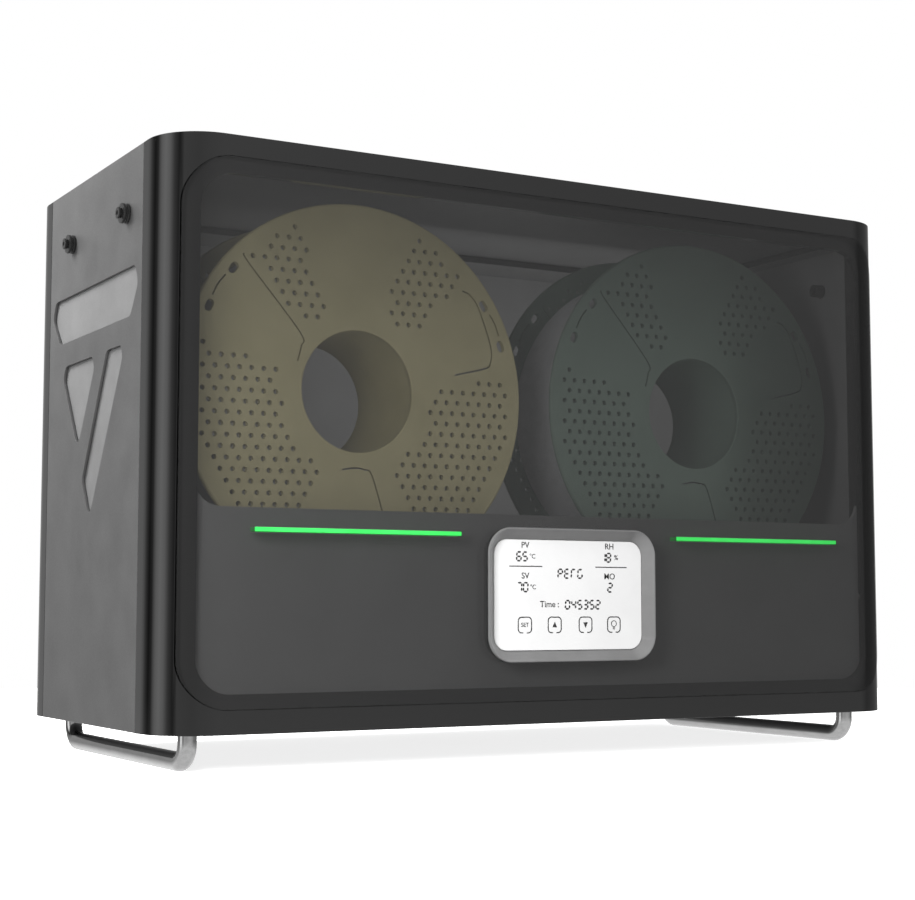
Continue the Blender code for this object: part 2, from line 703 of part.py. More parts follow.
def make_inlet():
    """Appliance inlet and rocker switch in one panel-mounted module."""
    x, z = inlet_place, bottom + inlet_level
    body = rounded_rectangle(*inlet_size, 0.002, (x, z), 2)
    flange = rounded_rectangle(0.062, 0.032, 0.004, (x, z), 3)
    face = rear + 0.002
    inlet = prism("power_inlet", "Y", body, rear - 0.027, face - 0.0005, matte_black)
    combine(inlet, prism("inlet_flange", "Y", flange, rear + gap, face, matte_black), "UNION")
    socket_x = x - 0.013
    socket = [(socket_x - 0.012, z - 0.008), (socket_x + 0.012, z - 0.008), (socket_x + 0.012, z + 0.003),
              (socket_x + 0.007, z + 0.008), (socket_x - 0.007, z + 0.008), (socket_x - 0.012, z + 0.003)]
    combine(inlet, prism("socket_cutter", "Y", socket, rear - 0.016, rear + 0.01, matte_black))
    window = rectangle((x + 0.007, z - 0.0105), (x + 0.021, z + 0.0105))
    combine(inlet, prism("rocker_cutter", "Y", window, rear - 0.0105, rear + 0.01, matte_black))
    blades = []
    for offset, level in ((-0.007, 0.0), (0.0, 0.0025), (0.007, 0.0)):
        low = (socket_x + offset - 0.001, rear - 0.018, z - 0.002 + level - 0.0015)
        blades.append((low, (low[0] + 0.002, rear - 0.005, low[2] + 0.004)))
    combine(inlet, blocks("inlet_blades", blades, matte_black), "UNION")

    pivot = Vector((x + 0.014, rear - 0.0055, z))
    shape = [(-0.004, -0.004), (0.0015, -0.0094), (0.006, -0.0094), (0.0042, 0.0), (0.006, 0.0094),
             (0.0015, 0.0094), (-0.004, 0.004)]
    cos, sin = math.cos(-rocker_tilt), math.sin(-rocker_tilt)
    outline = [(pivot.y + y * cos - h * sin, pivot.z + y * sin + h * cos) for y, h in shape]
    prism("power_switch", "X", outline, pivot.x - 0.0066, pivot.x + 0.0066, matte_black, origin=pivot)


def make_sensor():
    far = rear - wall - gap
    z = bottom + 0.235
    sensor = box("humidity_sensor", (-0.016, far - 0.0016, z - 0.011), (0.016, far, z + 0.011), board_green)
    cap = blocks("sensor_cap", [((-0.006, far - 0.006, z - 0.005), (0.006, far - 0.0010, z + 0.005))], matte_black)
    combine(sensor, cap, "UNION")


make_front_shell()
make_rear_shell()
make_side("left", -1)
make_side("right", 1)
make_bottom_plate()
make_foot("left", -1)
make_foot("right", 1)
make_window()
make_display()
make_baffle()
make_control_board()
make_top()
make_lid()
make_deck()
make_cradle("front", 0.0280, 0.0335)
make_cradle("middle", 0.1052, 0.1112)
make_cradle("rear", 0.1830, 0.1900)
make_rollers()
make_spool("left", -1, olive)
make_spool("right", 1, grey_green)
for side_name, side_sign in (("left", -1), ("right", 1)):
    for row_name, outlet_row in outlet_rows.items():
        make_outlet(f"{side_name}_{row_name}", side_sign, outlet_row)
make_fan_and_heater()
make_power_board()
make_inlet()
make_sensor()
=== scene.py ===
import json
import math

import bmesh
import bpy
from mathutils import Matrix, Vector


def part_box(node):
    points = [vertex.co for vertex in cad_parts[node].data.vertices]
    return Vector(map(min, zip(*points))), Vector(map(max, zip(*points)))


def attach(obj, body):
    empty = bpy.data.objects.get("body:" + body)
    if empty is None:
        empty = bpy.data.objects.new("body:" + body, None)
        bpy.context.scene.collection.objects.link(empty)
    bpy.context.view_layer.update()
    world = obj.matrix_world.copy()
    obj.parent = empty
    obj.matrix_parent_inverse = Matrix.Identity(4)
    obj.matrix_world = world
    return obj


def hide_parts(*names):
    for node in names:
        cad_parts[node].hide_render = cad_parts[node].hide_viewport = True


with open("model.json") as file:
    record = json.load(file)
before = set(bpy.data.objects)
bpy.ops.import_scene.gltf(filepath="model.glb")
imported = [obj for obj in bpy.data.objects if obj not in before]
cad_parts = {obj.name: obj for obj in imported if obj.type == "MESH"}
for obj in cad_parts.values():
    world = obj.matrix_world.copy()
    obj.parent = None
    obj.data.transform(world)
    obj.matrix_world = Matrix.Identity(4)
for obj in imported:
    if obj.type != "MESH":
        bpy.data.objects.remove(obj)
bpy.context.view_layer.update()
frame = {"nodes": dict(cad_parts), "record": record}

record = frame["record"]
bodyOf = {node: body for body, nodes in record["behaviour"]["bodies"].items() for node in nodes}
slotOf = {row["node"]: row["material_slot"] for row in record["subparts"]}
millimetre = 0.001
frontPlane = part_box("front_shell")[0].y
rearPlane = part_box("rear_shell")[1].y
bottomLevel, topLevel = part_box("front_shell")[0].z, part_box("front_shell")[1].z
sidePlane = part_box("front_shell")[1].x
smoothAngle = math.radians(32)


def addNode(tree, kind, inputs=None, **settings):
    node = tree.nodes.new(kind)
    for key, value in settings.items():
        setattr(node, key, value)
    for key, value in (inputs or {}).items():
        if isinstance(value, bpy.types.NodeSocket):
            tree.links.new(value, node.inputs[key])
        else:
            node.inputs[key].default_value = value
    return node


def linearColour(hexCode):
    channels = [int(hexCode[i:i + 2], 16) / 255 for i in (1, 3, 5)]
    return tuple(c / 12.92 if c <= 0.04045 else ((c + 0.055) / 1.055) ** 2.4 for c in channels) + (1.0,)


def startMaterial(name, baseHex, roughness, **sockets):
    material = bpy.data.materials.new(name)
    material.use_nodes = True
    shader = material.node_tree.nodes["Principled BSDF"]
    shader.inputs["Base Color"].default_value = linearColour(baseHex)
    shader.inputs["Roughness"].default_value = roughness
    for key, value in sockets.items():
        shader.inputs[key.replace("_", " ")].default_value = value
    return material


def makeMaterial(name, baseHex, roughness, drift, roughRange, grainSizes, stretch=(1, 1, 1), **sockets):
    # drift: two colours that slowly change over; grainSizes: patch, grain and depth of relief in mm
    material = startMaterial(name, baseHex, roughness, **sockets)
    patchSize, grainSize, grainHeight = grainSizes
    tree = material.node_tree
    shader = tree.nodes["Principled BSDF"]
    coords = addNode(tree, "ShaderNodeTexCoord")
    place = addNode(tree, "ShaderNodeMapping", {"Vector": coords.outputs["Object"], "Scale": stretch})
    patches = addNode(tree, "ShaderNodeTexNoise", {"Vector": place.outputs[0], "Scale": 1000 / patchSize,
            "Detail": 4.0, "Roughness": 0.6})
    ramp = addNode(tree, "ShaderNodeValToRGB", {"Fac": patches.outputs["Fac"]})
    ramp.color_ramp.elements[0].position = 0.3
    ramp.color_ramp.elements[1].position = 0.7
    ramp.color_ramp.elements[0].color = linearColour(drift[0])
    ramp.color_ramp.elements[1].color = linearColour(drift[1])
    tree.links.new(ramp.outputs["Color"], shader.inputs["Base Color"])
    grain = addNode(tree, "ShaderNodeTexNoise", {"Vector": place.outputs[0], "Scale": 1000 / grainSize,
            "Detail": 3.0, "Roughness": 0.55})
    spread = addNode(tree, "ShaderNodeMapRange", {"Value": grain.outputs["Fac"], "From Min": 0.3,
            "From Max": 0.7, "To Min": roughRange[0], "To Max": roughRange[1]})
    tree.links.new(spread.outputs["Result"], shader.inputs["Roughness"])
    relief = addNode(tree, "ShaderNodeBump", {"Height": grain.outputs["Fac"], "Strength": 1.0,
            "Distance": grainHeight * millimetre})
    tree.links.new(relief.outputs["Normal"], shader.inputs["Normal"])
    return material


def glossAbs():
    # injection-moulded high-gloss ABS: near-black, mirror-like, with a very faint flow waviness
    return makeMaterial("glossMouldedAbs", "#050505", 0.06, ("#040404", "#070707"), (0.045, 0.075),
            (60, 14, 0.004))


def satinPaint():
    # satin paint over an aluminium-filled ABS skin: dark grey, soft sheen, a fine even fleck
    return makeMaterial("satinPaintedPanel", "#383838", 0.4, ("#343434", "#3c3c3c"), (0.36, 0.46),
            (25, 0.6, 0.012))


def paleAbs():
    # moulded ABS in pale grey, fine spark-eroded texture: an even, dull face behind the cut-outs
    return makeMaterial("paleMouldedAbs", "#555555", 0.5, ("#515151", "#595959"), (0.45, 0.55),
            (20, 0.5, 0.015))


def texturedAbs():
    # moulded black ABS with a spark-eroded grain: matt, slightly greyed at a glance
    return makeMaterial("sparkTexturedAbs", "#17181a", 0.55, ("#131415", "#1b1c1e"), (0.48, 0.66),
            (18, 0.7, 0.03))


def lidAbs():
    # moulded black ABS, leather-fine grain with a satin lacquer: soft broad reflections
    return makeMaterial("grainedLidAbs", "#101011", 0.35, ("#0e0e0f", "#141415"), (0.28, 0.42),
            (22, 0.9, 0.02))


def sealRubber():
    # extruded EPDM rubber: dull black with a dusty bloom
    return makeMaterial("extrudedRubber", "#161616", 0.8, ("#121212", "#202020"), (0.72, 0.9),
            (9, 0.5, 0.03), IOR=1.52)


def rollerRubber():
    # moulded nitrile sleeve: black, dry, worn slightly paler where spools run on it
    return makeMaterial("mouldedNitrile", "#1d1d1e", 0.7, ("#171718", "#28282a"), (0.6, 0.82),
            (6, 0.4, 0.03), IOR=1.52)


def smokedAcrylic():
    # cast smoked acrylic, flame-polished edges: see-through dark grey with a clean reflection
    return makeMaterial("smokedAcrylic", "#060606", 0.03, ("#050505", "#080808"), (0.02, 0.04),
            (80, 30, 0.0008), IOR=1.49, Alpha=0.5, Specular_IOR_Level=0.75)


def chamberGrey():
    # moulded heat-resistant ABS, mid grey and matt so that the chamber looks even
    return makeMaterial("chamberAbs", "#999999", 0.6, ("#959595", "#9d9d9d"), (0.55, 0.68), (30, 0.8, 0.02))


def litDiffuser():
    # opal light guide lit from behind: an even saturated green with a softer core
    return makeMaterial("litGreenGuide", "#2ecc50", 0.35, ("#24b044", "#34c654"), (0.3, 0.4),
            (12, 0.6, 0.004), IOR=1.49, Emission_Strength=0.24, Emission_Color=linearColour("#35e35a"))


def silverBezel():
    # vacuum-metallised then satin-lacquered ABS: mid silver-grey with bright soft rims
    return makeMaterial("satinSilverLacquer", "#747474", 0.32, ("#707070", "#787878"), (0.28, 0.36),
            (15, 0.35, 0.004), Metallic=0.25)


def displayWhite():
    # white backlit touch film under a thin hard coat
    return makeMaterial("backlitTouchFilm", "#d2d2d2", 0.22, ("#d0d0d0", "#d5d5d5"), (0.18, 0.28),
            (20, 0.5, 0.002), Emission_Strength=0.08, Emission_Color=linearColour("#ffffff"))


def printedInk():
    # screen-printed dark grey ink and lit segments
    return makeMaterial("screenPrintedInk", "#242424", 0.5, ("#202020", "#282828"), (0.45, 0.55),
            (4, 0.3, 0.002))


def brightSteel():
    # nickel-chrome plated steel rod: smoky bright mirror with faint drawing lines
    return makeMaterial("chromePlatedRod", "#989898", 0.12, ("#929292", "#9e9e9e"), (0.08, 0.17),
            (12, 0.8, 0.004), stretch=(6, 1, 6), Metallic=1.0)


def finAluminium():
    # extruded aluminium, plain mill finish: pale, streaked along the draw
    return makeMaterial("millAluminium", "#b8b8b6", 0.38, ("#a8a8a6", "#c4c4c2"), (0.3, 0.48),
            (5, 0.5, 0.01), stretch=(8, 1, 8), Metallic=1.0)


def solderMask():
    # glass-epoxy board under green solder mask: semi-gloss with copper tracks showing as paler lines
    material = startMaterial("solderMaskedBoard", "#0d4a2a", 0.3, IOR=1.55)
    tree = material.node_tree
    shader = tree.nodes["Principled BSDF"]
    coords = addNode(tree, "ShaderNodeTexCoord")
    tracks = addNode(tree, "ShaderNodeTexBrick", {"Vector": coords.outputs["Object"], "Scale": 160.0,
            "Color1": linearColour("#0c4427"), "Color2": linearColour("#0e4e2c"),
            "Mortar": linearColour("#2a7a4c"), "Mortar Size": 0.06})
    tree.links.new(tracks.outputs["Color"], shader.inputs["Base Color"])
    relief = addNode(tree, "ShaderNodeBump", {"Height": tracks.outputs["Fac"],
            "Distance": 0.05 * millimetre})
    tree.links.new(relief.outputs["Normal"], shader.inputs["Normal"])
    return material


def olivePlastic():
    # moulded recycled ABS in olive: satin, faint flow marks
    return makeMaterial("oliveMouldedAbs", "#b8b088", 0.42, ("#b2aa82", "#beb68e"), (0.36, 0.5),
            (22, 0.9, 0.02))


def greyGreenPlastic():
    # the same moulding in a dull grey-green
    return makeMaterial("greyGreenMouldedAbs", "#74857a", 0.45, ("#708176", "#78897e"), (0.38, 0.52),
            (22, 0.9, 0.02))


def woundFilament():
    # extruded PETG strand: pale grey with a wet sheen along each turn
    return makeMaterial("extrudedPetgStrand", "#bebec0", 0.3, ("#b6b6b8", "#c6c6c8"), (0.22, 0.38),
            (6, 0.5, 0.01), IOR=1.57)


def outletAbs():
    # moulded black acetal fitting: smooth semi-gloss
    return makeMaterial("mouldedAcetal", "#121212", 0.28, ("#0f0f0f", "#171717"), (0.22, 0.34),
            (5, 0.4, 0.006), IOR=1.48)


def screwSteel():
    # black-oxide steel screw: dark, oily sheen
    return makeMaterial("blackOxideSteel", "#34343a", 0.35, ("#2c2c30", "#404046"), (0.28, 0.45),
            (2, 0.3, 0.005), Metallic=1.0)


materialFor = {
    "gloss_black_shell": glossAbs(), "satin_grey_panel": satinPaint(), "pale_grey_backing": paleAbs(),
    "black_plastic": texturedAbs(), "lid_black": lidAbs(), "seal_rubber": sealRubber(),
    "smoked_window": smokedAcrylic(), "chamber_grey": chamberGrey(), "green_light": litDiffuser(),
    "silver_bezel": silverBezel(), "display_white": displayWhite(), "circuit_board": solderMask(),
    "bright_steel": brightSteel(), "heater_aluminium": finAluminium(), "olive_spool": olivePlastic(),
    "grey_green_spool": greyGreenPlastic(), "wound_filament": woundFilament(),
    "roller_rubber": rollerRubber(), "outlet_black": outletAbs(),
}
inkMaterial = printedInk()
screwMaterial = screwSteel()
print("materials made:", len(materialFor) + 2)


def arcPoints(centre, radius, start, end, steps=24):
    points = []
    for step in range(steps + 1):
        angle = math.radians(start + (end - start) * step / steps)
        points.append((centre[0] + radius * math.cos(angle), centre[1] + radius * math.sin(angle)))
    return points


def roundedRectangle(width, height, radius, centre=(0.0, 0.0), steps=16):
    points = []
    for quarter, (signU, signV) in enumerate(((1, 1), (-1, 1), (-1, -1), (1, -1))):
        middle = (centre[0] + signU * (width / 2 - radius), centre[1] + signV * (height / 2 - radius))
        points += arcPoints(middle, radius, 90 * quarter, 90 * quarter + 90, steps)
    return points


def roundedPolygon(corners, radius, steps=8):
    points = []
    for index, corner in enumerate(corners):
        here = Vector(corner)
        before = Vector(corners[index - 1]) - here
        after = Vector(corners[(index + 1) % len(corners)]) - here
        half = before.angle(after) / 2
        reach = min(radius / math.tan(half), 0.45 * before.length, 0.45 * after.length)
        start, end = here + before.normalized() * reach, here + after.normalized() * reach
        for step in range(steps + 1):
            t = step / steps
            point = start * (1 - t) ** 2 + here * 2 * t * (1 - t) + end * t ** 2
            points.append((point.x, point.y))
    return points


def stripOutline(path, width):
    # closed outline of a line of the given width along an open path
    left, right = [], []
    for index, point in enumerate(path):
        before = Vector(path[max(index - 1, 0)])
        after = Vector(path[min(index + 1, len(path) - 1)])
        along = (after - before).normalized()
        across = Vector((-along.y, along.x)) * width / 2
        left.append(tuple(Vector(point) + across))
        right.append(tuple(Vector(point) - across))
    return left + right[::-1]


def placePoint(axis, u, v, level):
    return {"X": (level, u, v), "Y": (u, level, v), "Z": (u, v, level)}[axis]


def addLoft(bm, axis, rings):
    loops = [[bm.verts.new(placePoint(axis, u, v, level)) for u, v in outline] for outline, level in rings]
    for lower, upper in zip(loops, loops[1:]):
        for i in range(len(lower)):
            j = (i + 1) % len(lower)
            bm.faces.new((lower[i], lower[j], upper[j], upper[i]))
    bm.faces.new(loops[0])
    bm.faces.new(loops[-1])


def addPrism(bm, axis, outline, low, high):
    addLoft(bm, axis, [(outline, low), (outline, high)])


def prismPiece(name, axis, outline, low, high):
    bm = bmesh.new()
    addPrism(bm, axis, outline, low, high)
    return pieceFrom(bm, name)


def addLathe(bm, profile, segments, matrix):
    # closed ring turned about local Z; the profile lists (radius, height)
    rings = []
    for index in range(segments):
        angle = math.tau * index / segments
        rings.append([bm.verts.new(matrix @ Vector((r * math.cos(angle), r * math.sin(angle), h))) for r,
                h in profile])
    for index in range(segments):
        here, after = rings[index], rings[(index + 1) % segments]
        for i in range(len(profile)):
            j = (i + 1) % len(profile)
            bm.faces.new((here[i], here[j], after[j], after[i]))


def pieceFrom(bm, name):
    bmesh.ops.remove_doubles(bm, verts=bm.verts, dist=1e-7)
    bmesh.ops.recalc_face_normals(bm, faces=bm.faces)
    mesh = bpy.data.meshes.new(name)
    bm.to_mesh(mesh)
    bm.free()
    piece = bpy.data.objects.new(name, mesh)
    bpy.context.scene.collection.objects.link(piece)
    return piece


def applyModifiers(piece):
    graph = bpy.context.evaluated_depsgraph_get()
    mesh = bpy.data.meshes.new_from_object(piece.evaluated_get(graph))
    piece.modifiers.clear()
    piece.data = mesh
    return piece


def cutPiece(piece, cutter, operation="DIFFERENCE"):
    modifier = piece.modifiers.new("Cut", "BOOLEAN")
    modifier.operation = operation
    modifier.solver = "EXACT"
    modifier.object = cutter
    applyModifiers(piece)
    bpy.data.objects.remove(cutter)


def softenEdges(piece, width, segments=2):
    # small rounded edges and flat-looking faces, made part of the mesh
    mesh = piece.data
    mesh.shade_smooth()
    bevel = piece.modifiers.new("Bevel", "BEVEL")
    bevel.width = width
    bevel.segments = segments
    bevel.limit_method = "ANGLE"
    bevel.angle_limit = smoothAngle
    applyModifiers(piece)
    piece.data.shade_smooth()
    piece.data.set_sharp_from_angle(angle=math.radians(50))
    weighted = piece.modifiers.new("Weighted", "WEIGHTED_NORMAL")
    weighted.keep_sharp = True
    applyModifiers(piece)
    return piece


def smoothPiece(piece):
    piece.data.shade_smooth()
    piece.data.set_sharp_from_angle(angle=smoothAngle)
    return piece


def settle(piece, body, slot, material, *nodes):
    piece.data.materials.clear()
    piece.data.materials.append(material)
    piece.data.polygons.foreach_set("material_index", [0] * len(piece.data.polygons))
    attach(piece, body)
    if nodes:
        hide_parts(*nodes)
    return piece


def dressAs(piece, node):
    return settle(piece, bodyOf[node], slotOf[node], materialFor[slotOf[node]], node)


def lineChamber(piece, facesChamber):
    # the faces that look into the chamber are in its own grey
    piece.data.materials.append(materialFor["chamber_grey"])
    for face in piece.data.polygons:
        if facesChamber(face):
            face.material_index = 1


def startTree(name, inputs):
    tree = bpy.data.node_groups.new(name, "GeometryNodeTree")
    for label, (kind, value) in inputs.items():
        socket = tree.interface.new_socket(name=label, in_out="INPUT", socket_type="NodeSocket" + kind)
        if value is not None:
            socket.default_value = value
    tree.interface.new_socket(name="Geometry", in_out="OUTPUT", socket_type="NodeSocketGeometry")
    return tree, addNode(tree, "NodeGroupInput").outputs


def endTree(tree, geometry, material):
    real = addNode(tree, "GeometryNodeRealizeInstances", {0: geometry})
    merged = addNode(tree, "GeometryNodeMergeByDistance", {"Geometry": real.outputs[0], "Distance": 1e-6})
    painted = addNode(tree, "GeometryNodeSetMaterial", {"Geometry": merged.outputs[0],
            "Material": material})
    addNode(tree, "NodeGroupOutput", {0: painted.outputs[0]})
    return tree


def growPiece(name, tree, matrix=Matrix.Identity(4), **values):
    piece = bpy.data.objects.new(name, bpy.data.meshes.new(name))
    modifier = piece.modifiers.new("Grow", "NODES")
    modifier.node_group = tree
    for item in tree.interface.items_tree:
        key = item.name.replace(" ", "")
        if item.in_out == "INPUT" and key in values:
            modifier[item.identifier] = values[key]
    bpy.context.scene.collection.objects.link(piece)
    applyModifiers(piece)
    piece.data.transform(matrix)
    return piece


def flangeTree(sectors, lines, material):
    tree, given = startTree("spoolFlange", {"Outer Radius": ("Float", 0.099), "Bore Radius": ("Float",
            0.0323), "Thickness": ("Float", 0.003), "Hole Radius": ("Float", 0.0014),
            "Hole Pitch": ("Float", 0.0067), "Holes Across": ("Int", 31), "Lines": ("Object", None)})

    # holes on a triangular grid; the ones outside every sector are dropped
    position = addNode(tree, "GeometryNodeInputPosition").outputs[0]
    here = addNode(tree, "ShaderNodeSeparateXYZ", {0: position}).outputs
    reach = addNode(tree, "ShaderNodeVectorMath", {0: position}, operation="LENGTH").outputs["Value"]
    value = {"index": addNode(tree, "GeometryNodeInputIndex").outputs[0],
            "across": given["Holes Across"], "pitch": given["Hole Pitch"], "hereX": here["X"],
            "hereY": here["Y"], "reach": reach, "kept": 0.0}
    steps = [("quotient", "DIVIDE", "index", "across"), ("row", "FLOOR", "quotient", 0.0),
            ("before", "MULTIPLY", "row", "across"), ("column", "SUBTRACT", "index", "before"),
            ("odd", "MODULO", "row", 2.0), ("shift", "MULTIPLY", "odd", 0.5), ("middle", "MULTIPLY",
            "across", 0.5), ("shifted", "ADD", "column", "shift"), ("sideways", "SUBTRACT", "shifted",
            "middle"), ("x", "MULTIPLY", "sideways", "pitch"), ("rowStep", "MULTIPLY", "pitch",
            math.sqrt(0.75)), ("upward", "SUBTRACT", "row", "middle"), ("y", "MULTIPLY", "upward",
            "rowStep"), ("count", "MULTIPLY", "across", "across"), ("turn", "ARCTAN2", "hereY", "hereX"),
            ("signed", "MULTIPLY", "turn", 180 / math.pi), ("degrees", "FLOORED_MODULO", "signed", 360.0)]
    for start, end, near, far in sectors:
        steps += [("past", "GREATER_THAN", "degrees", start), ("short", "LESS_THAN", "degrees", end),
                ("beyond", "GREATER_THAN", "reach", near), ("within", "LESS_THAN", "reach", far),
                ("wedge", "MULTIPLY", "past", "short"), ("ring", "MULTIPLY", "beyond", "within"),
                ("inside", "MULTIPLY", "wedge", "ring"), ("kept", "ADD", "kept", "inside")]
    steps.append(("outside", "LESS_THAN", "kept", 0.5))
    for name, operation, a, b in steps:
        sides = {0: value.get(a, a), 1: value.get(b, b)}
        value[name] = addNode(tree, "ShaderNodeMath", sides, operation=operation).outputs[0]
    spot = addNode(tree, "ShaderNodeCombineXYZ", {"X": value["x"], "Y": value["y"]})
    points = addNode(tree, "GeometryNodePoints", {"Count": value["count"], "Position": spot.outputs[0],
            "Radius": 0.001})
    spots = addNode(tree, "GeometryNodeDeleteGeometry", {"Geometry": points.outputs[0],
            "Selection": value["outside"]}, domain="POINT")
    hole = addNode(tree, "GeometryNodeCurvePrimitiveCircle", {"Resolution": 12,
            "Radius": given["Hole Radius"]})
    holes = addNode(tree, "GeometryNodeInstanceOnPoints", {"Points": spots.outputs[0],
            "Instance": hole.outputs[0]})
    holeCurves = addNode(tree, "GeometryNodeRealizeInstances", {0: holes.outputs[0]})
    outer = addNode(tree, "GeometryNodeCurvePrimitiveCircle", {"Resolution": 160,
            "Radius": given["Outer Radius"]})
    bore = addNode(tree, "GeometryNodeCurvePrimitiveCircle", {"Resolution": 96,
            "Radius": given["Bore Radius"]})
    drawn = addNode(tree, "GeometryNodeObjectInfo", {"Object": given["Lines"]})
    drawnCurves = addNode(tree, "GeometryNodeMeshToCurve", {"Mesh": drawn.outputs["Geometry"]})
    curves = addNode(tree, "GeometryNodeJoinGeometry")
    for source in (outer, bore, holeCurves, drawnCurves):
        tree.links.new(source.outputs[0], curves.inputs[0])
    face = addNode(tree, "GeometryNodeFillCurve", {"Curve": curves.outputs[0]})
    raised = addNode(tree, "GeometryNodeExtrudeMesh", {"Mesh": face.outputs[0], "Offset": (0.0, 0.0,
            1.0), "Offset Scale": given["Thickness"], "Individual": False})
    under = addNode(tree, "GeometryNodeFlipFaces", {0: face.outputs[0]})
    whole = addNode(tree, "GeometryNodeJoinGeometry")
    tree.links.new(raised.outputs["Mesh"], whole.inputs[0])
    tree.links.new(under.outputs[0], whole.inputs[0])
    return endTree(tree, whole.outputs[0], material)


def windingTree(material):
    tree, given = startTree("filamentWinding", {"Turns": ("Float", 33.0), "Radius": ("Float", 0.085),
            "Length": ("Float", 0.057), "Strand Radius": ("Float", 0.0009)})
    helix = addNode(tree, "GeometryNodeCurveSpiral", {"Resolution": 44, "Rotations": given["Turns"],
            "Start Radius": given["Radius"], "End Radius": given["Radius"], "Height": given["Length"]})
    strand = addNode(tree, "GeometryNodeCurvePrimitiveCircle", {"Resolution": 6,
            "Radius": given["Strand Radius"]})
    tube = addNode(tree, "GeometryNodeCurveToMesh", {"Curve": helix.outputs[0],
            "Profile Curve": strand.outputs[0], "Fill Caps": True})
    return endTree(tree, tube.outputs[0], material)


def ribTree(material):
    tree, given = startTree("rollerRibs", {"Count": ("Int", 14), "Length": ("Float", 0.060),
            "Radius": ("Float", 0.0095), "Rib": ("Float", 0.0006)})
    spacing = addNode(tree, "ShaderNodeMath", {0: given["Count"], 1: 1.0}, operation="SUBTRACT")
    step = addNode(tree, "ShaderNodeMath", {0: given["Length"], 1: spacing.outputs[0]}, operation="DIVIDE")
    stepVector = addNode(tree, "ShaderNodeCombineXYZ", {"Z": step.outputs[0]})
    line = addNode(tree, "GeometryNodeMeshLine", {"Count": given["Count"], "Offset": stepVector.outputs[0]})
    ring = addNode(tree, "GeometryNodeCurvePrimitiveCircle", {"Resolution": 28, "Radius": given["Radius"]})
    section = addNode(tree, "GeometryNodeCurvePrimitiveCircle", {"Resolution": 6, "Radius": given["Rib"]})
    rib = addNode(tree, "GeometryNodeCurveToMesh", {"Curve": ring.outputs[0],
            "Profile Curve": section.outputs[0]})
    ribs = addNode(tree, "GeometryNodeInstanceOnPoints", {"Points": line.outputs[0],
            "Instance": rib.outputs[0]})
    return endTree(tree, ribs.outputs[0], material)


screwSizes = {"headRadius": 0.0026, "headHeight": 0.0014, "crossLength": 0.0028, "crossWidth": 0.0006,
        "crossHeight": 0.0022, "crossLevel": 0.0016}


def screwTree(material):
    # pan head with a cross recess on every point of the given mesh, facing +Z
    size = screwSizes
    tree, given = startTree("panHeadScrews", {"Places": ("Object", None), "Head Radius": ("Float",
            size["headRadius"]), "Head Height": ("Float", size["headHeight"])})
    barrel = addNode(tree, "GeometryNodeMeshCylinder", {"Vertices": 20, "Radius": given["Head Radius"],
            "Depth": given["Head Height"]})
    capRadius = addNode(tree, "ShaderNodeMath", {0: given["Head Radius"], 1: 0.8}, operation="MULTIPLY")
    rise = addNode(tree, "ShaderNodeMath", {0: given["Head Height"], 1: 0.5}, operation="MULTIPLY")
    dome = addNode(tree, "GeometryNodeMeshCone", {"Vertices": 20, "Radius Bottom": given["Head Radius"],
            "Radius Top": capRadius.outputs[0], "Depth": rise.outputs[0]})
    domeRise = addNode(tree, "ShaderNodeCombineXYZ", {"Z": rise.outputs[0]})
    domePlaced = addNode(tree, "GeometryNodeTransform", {"Geometry": dome.outputs[0],
            "Translation": domeRise.outputs[0]})
    head = addNode(tree, "GeometryNodeMeshBoolean", operation="UNION", solver="EXACT")
    tree.links.new(barrel.outputs[0], head.inputs["Mesh 2"])
    tree.links.new(domePlaced.outputs[0], head.inputs["Mesh 2"])
    bar = (size["crossLength"], size["crossWidth"], size["crossHeight"])
    slot = addNode(tree, "GeometryNodeMeshCube", {"Size": bar})
    crossSlot = addNode(tree, "GeometryNodeTransform", {"Geometry": slot.outputs[0], "Rotation": (0, 0,
            math.pi / 2)})
    slots = addNode(tree, "GeometryNodeJoinGeometry")
    tree.links.new(slot.outputs[0], slots.inputs[0])
    tree.links.new(crossSlot.outputs[0], slots.inputs[0])
    lift = addNode(tree, "GeometryNodeTransform", {"Geometry": slots.outputs[0], "Translation": (0, 0,
            size["crossLevel"])})
    recess = addNode(tree, "GeometryNodeMeshBoolean", {"Mesh 1": head.outputs[0],
            "Mesh 2": lift.outputs[0], "Self Intersection": True}, operation="DIFFERENCE", solver="EXACT")
    places = addNode(tree, "GeometryNodeObjectInfo", {"Object": given["Places"]})
    points = addNode(tree, "GeometryNodeMeshToPoints", {"Mesh": places.outputs["Geometry"]})
    screws = addNode(tree, "GeometryNodeInstanceOnPoints", {"Points": points.outputs[0],
            "Instance": recess.outputs[0]})
    return endTree(tree, screws.outputs[0], material)


def slatTree(material):
    # a row of equal bars along X
    tree, given = startTree("slatRow", {"Count": ("Int", 9), "Pitch": ("Float", 0.009),
            "Size": ("Vector", (0.003, 0.02, 0.034))})
    offset = addNode(tree, "ShaderNodeCombineXYZ", {"X": given["Pitch"]})
    line = addNode(tree, "GeometryNodeMeshLine", {"Count": given["Count"], "Offset": offset.outputs[0]})
    bar = addNode(tree, "GeometryNodeMeshCube", {"Size": given["Size"]})
    bars = addNode(tree, "GeometryNodeInstanceOnPoints", {"Points": line.outputs[0],
            "Instance": bar.outputs[0]})
    return endTree(tree, bars.outputs[0], material)


screws = screwTree(screwMaterial)
slats = slatTree(materialFor["black_plastic"])


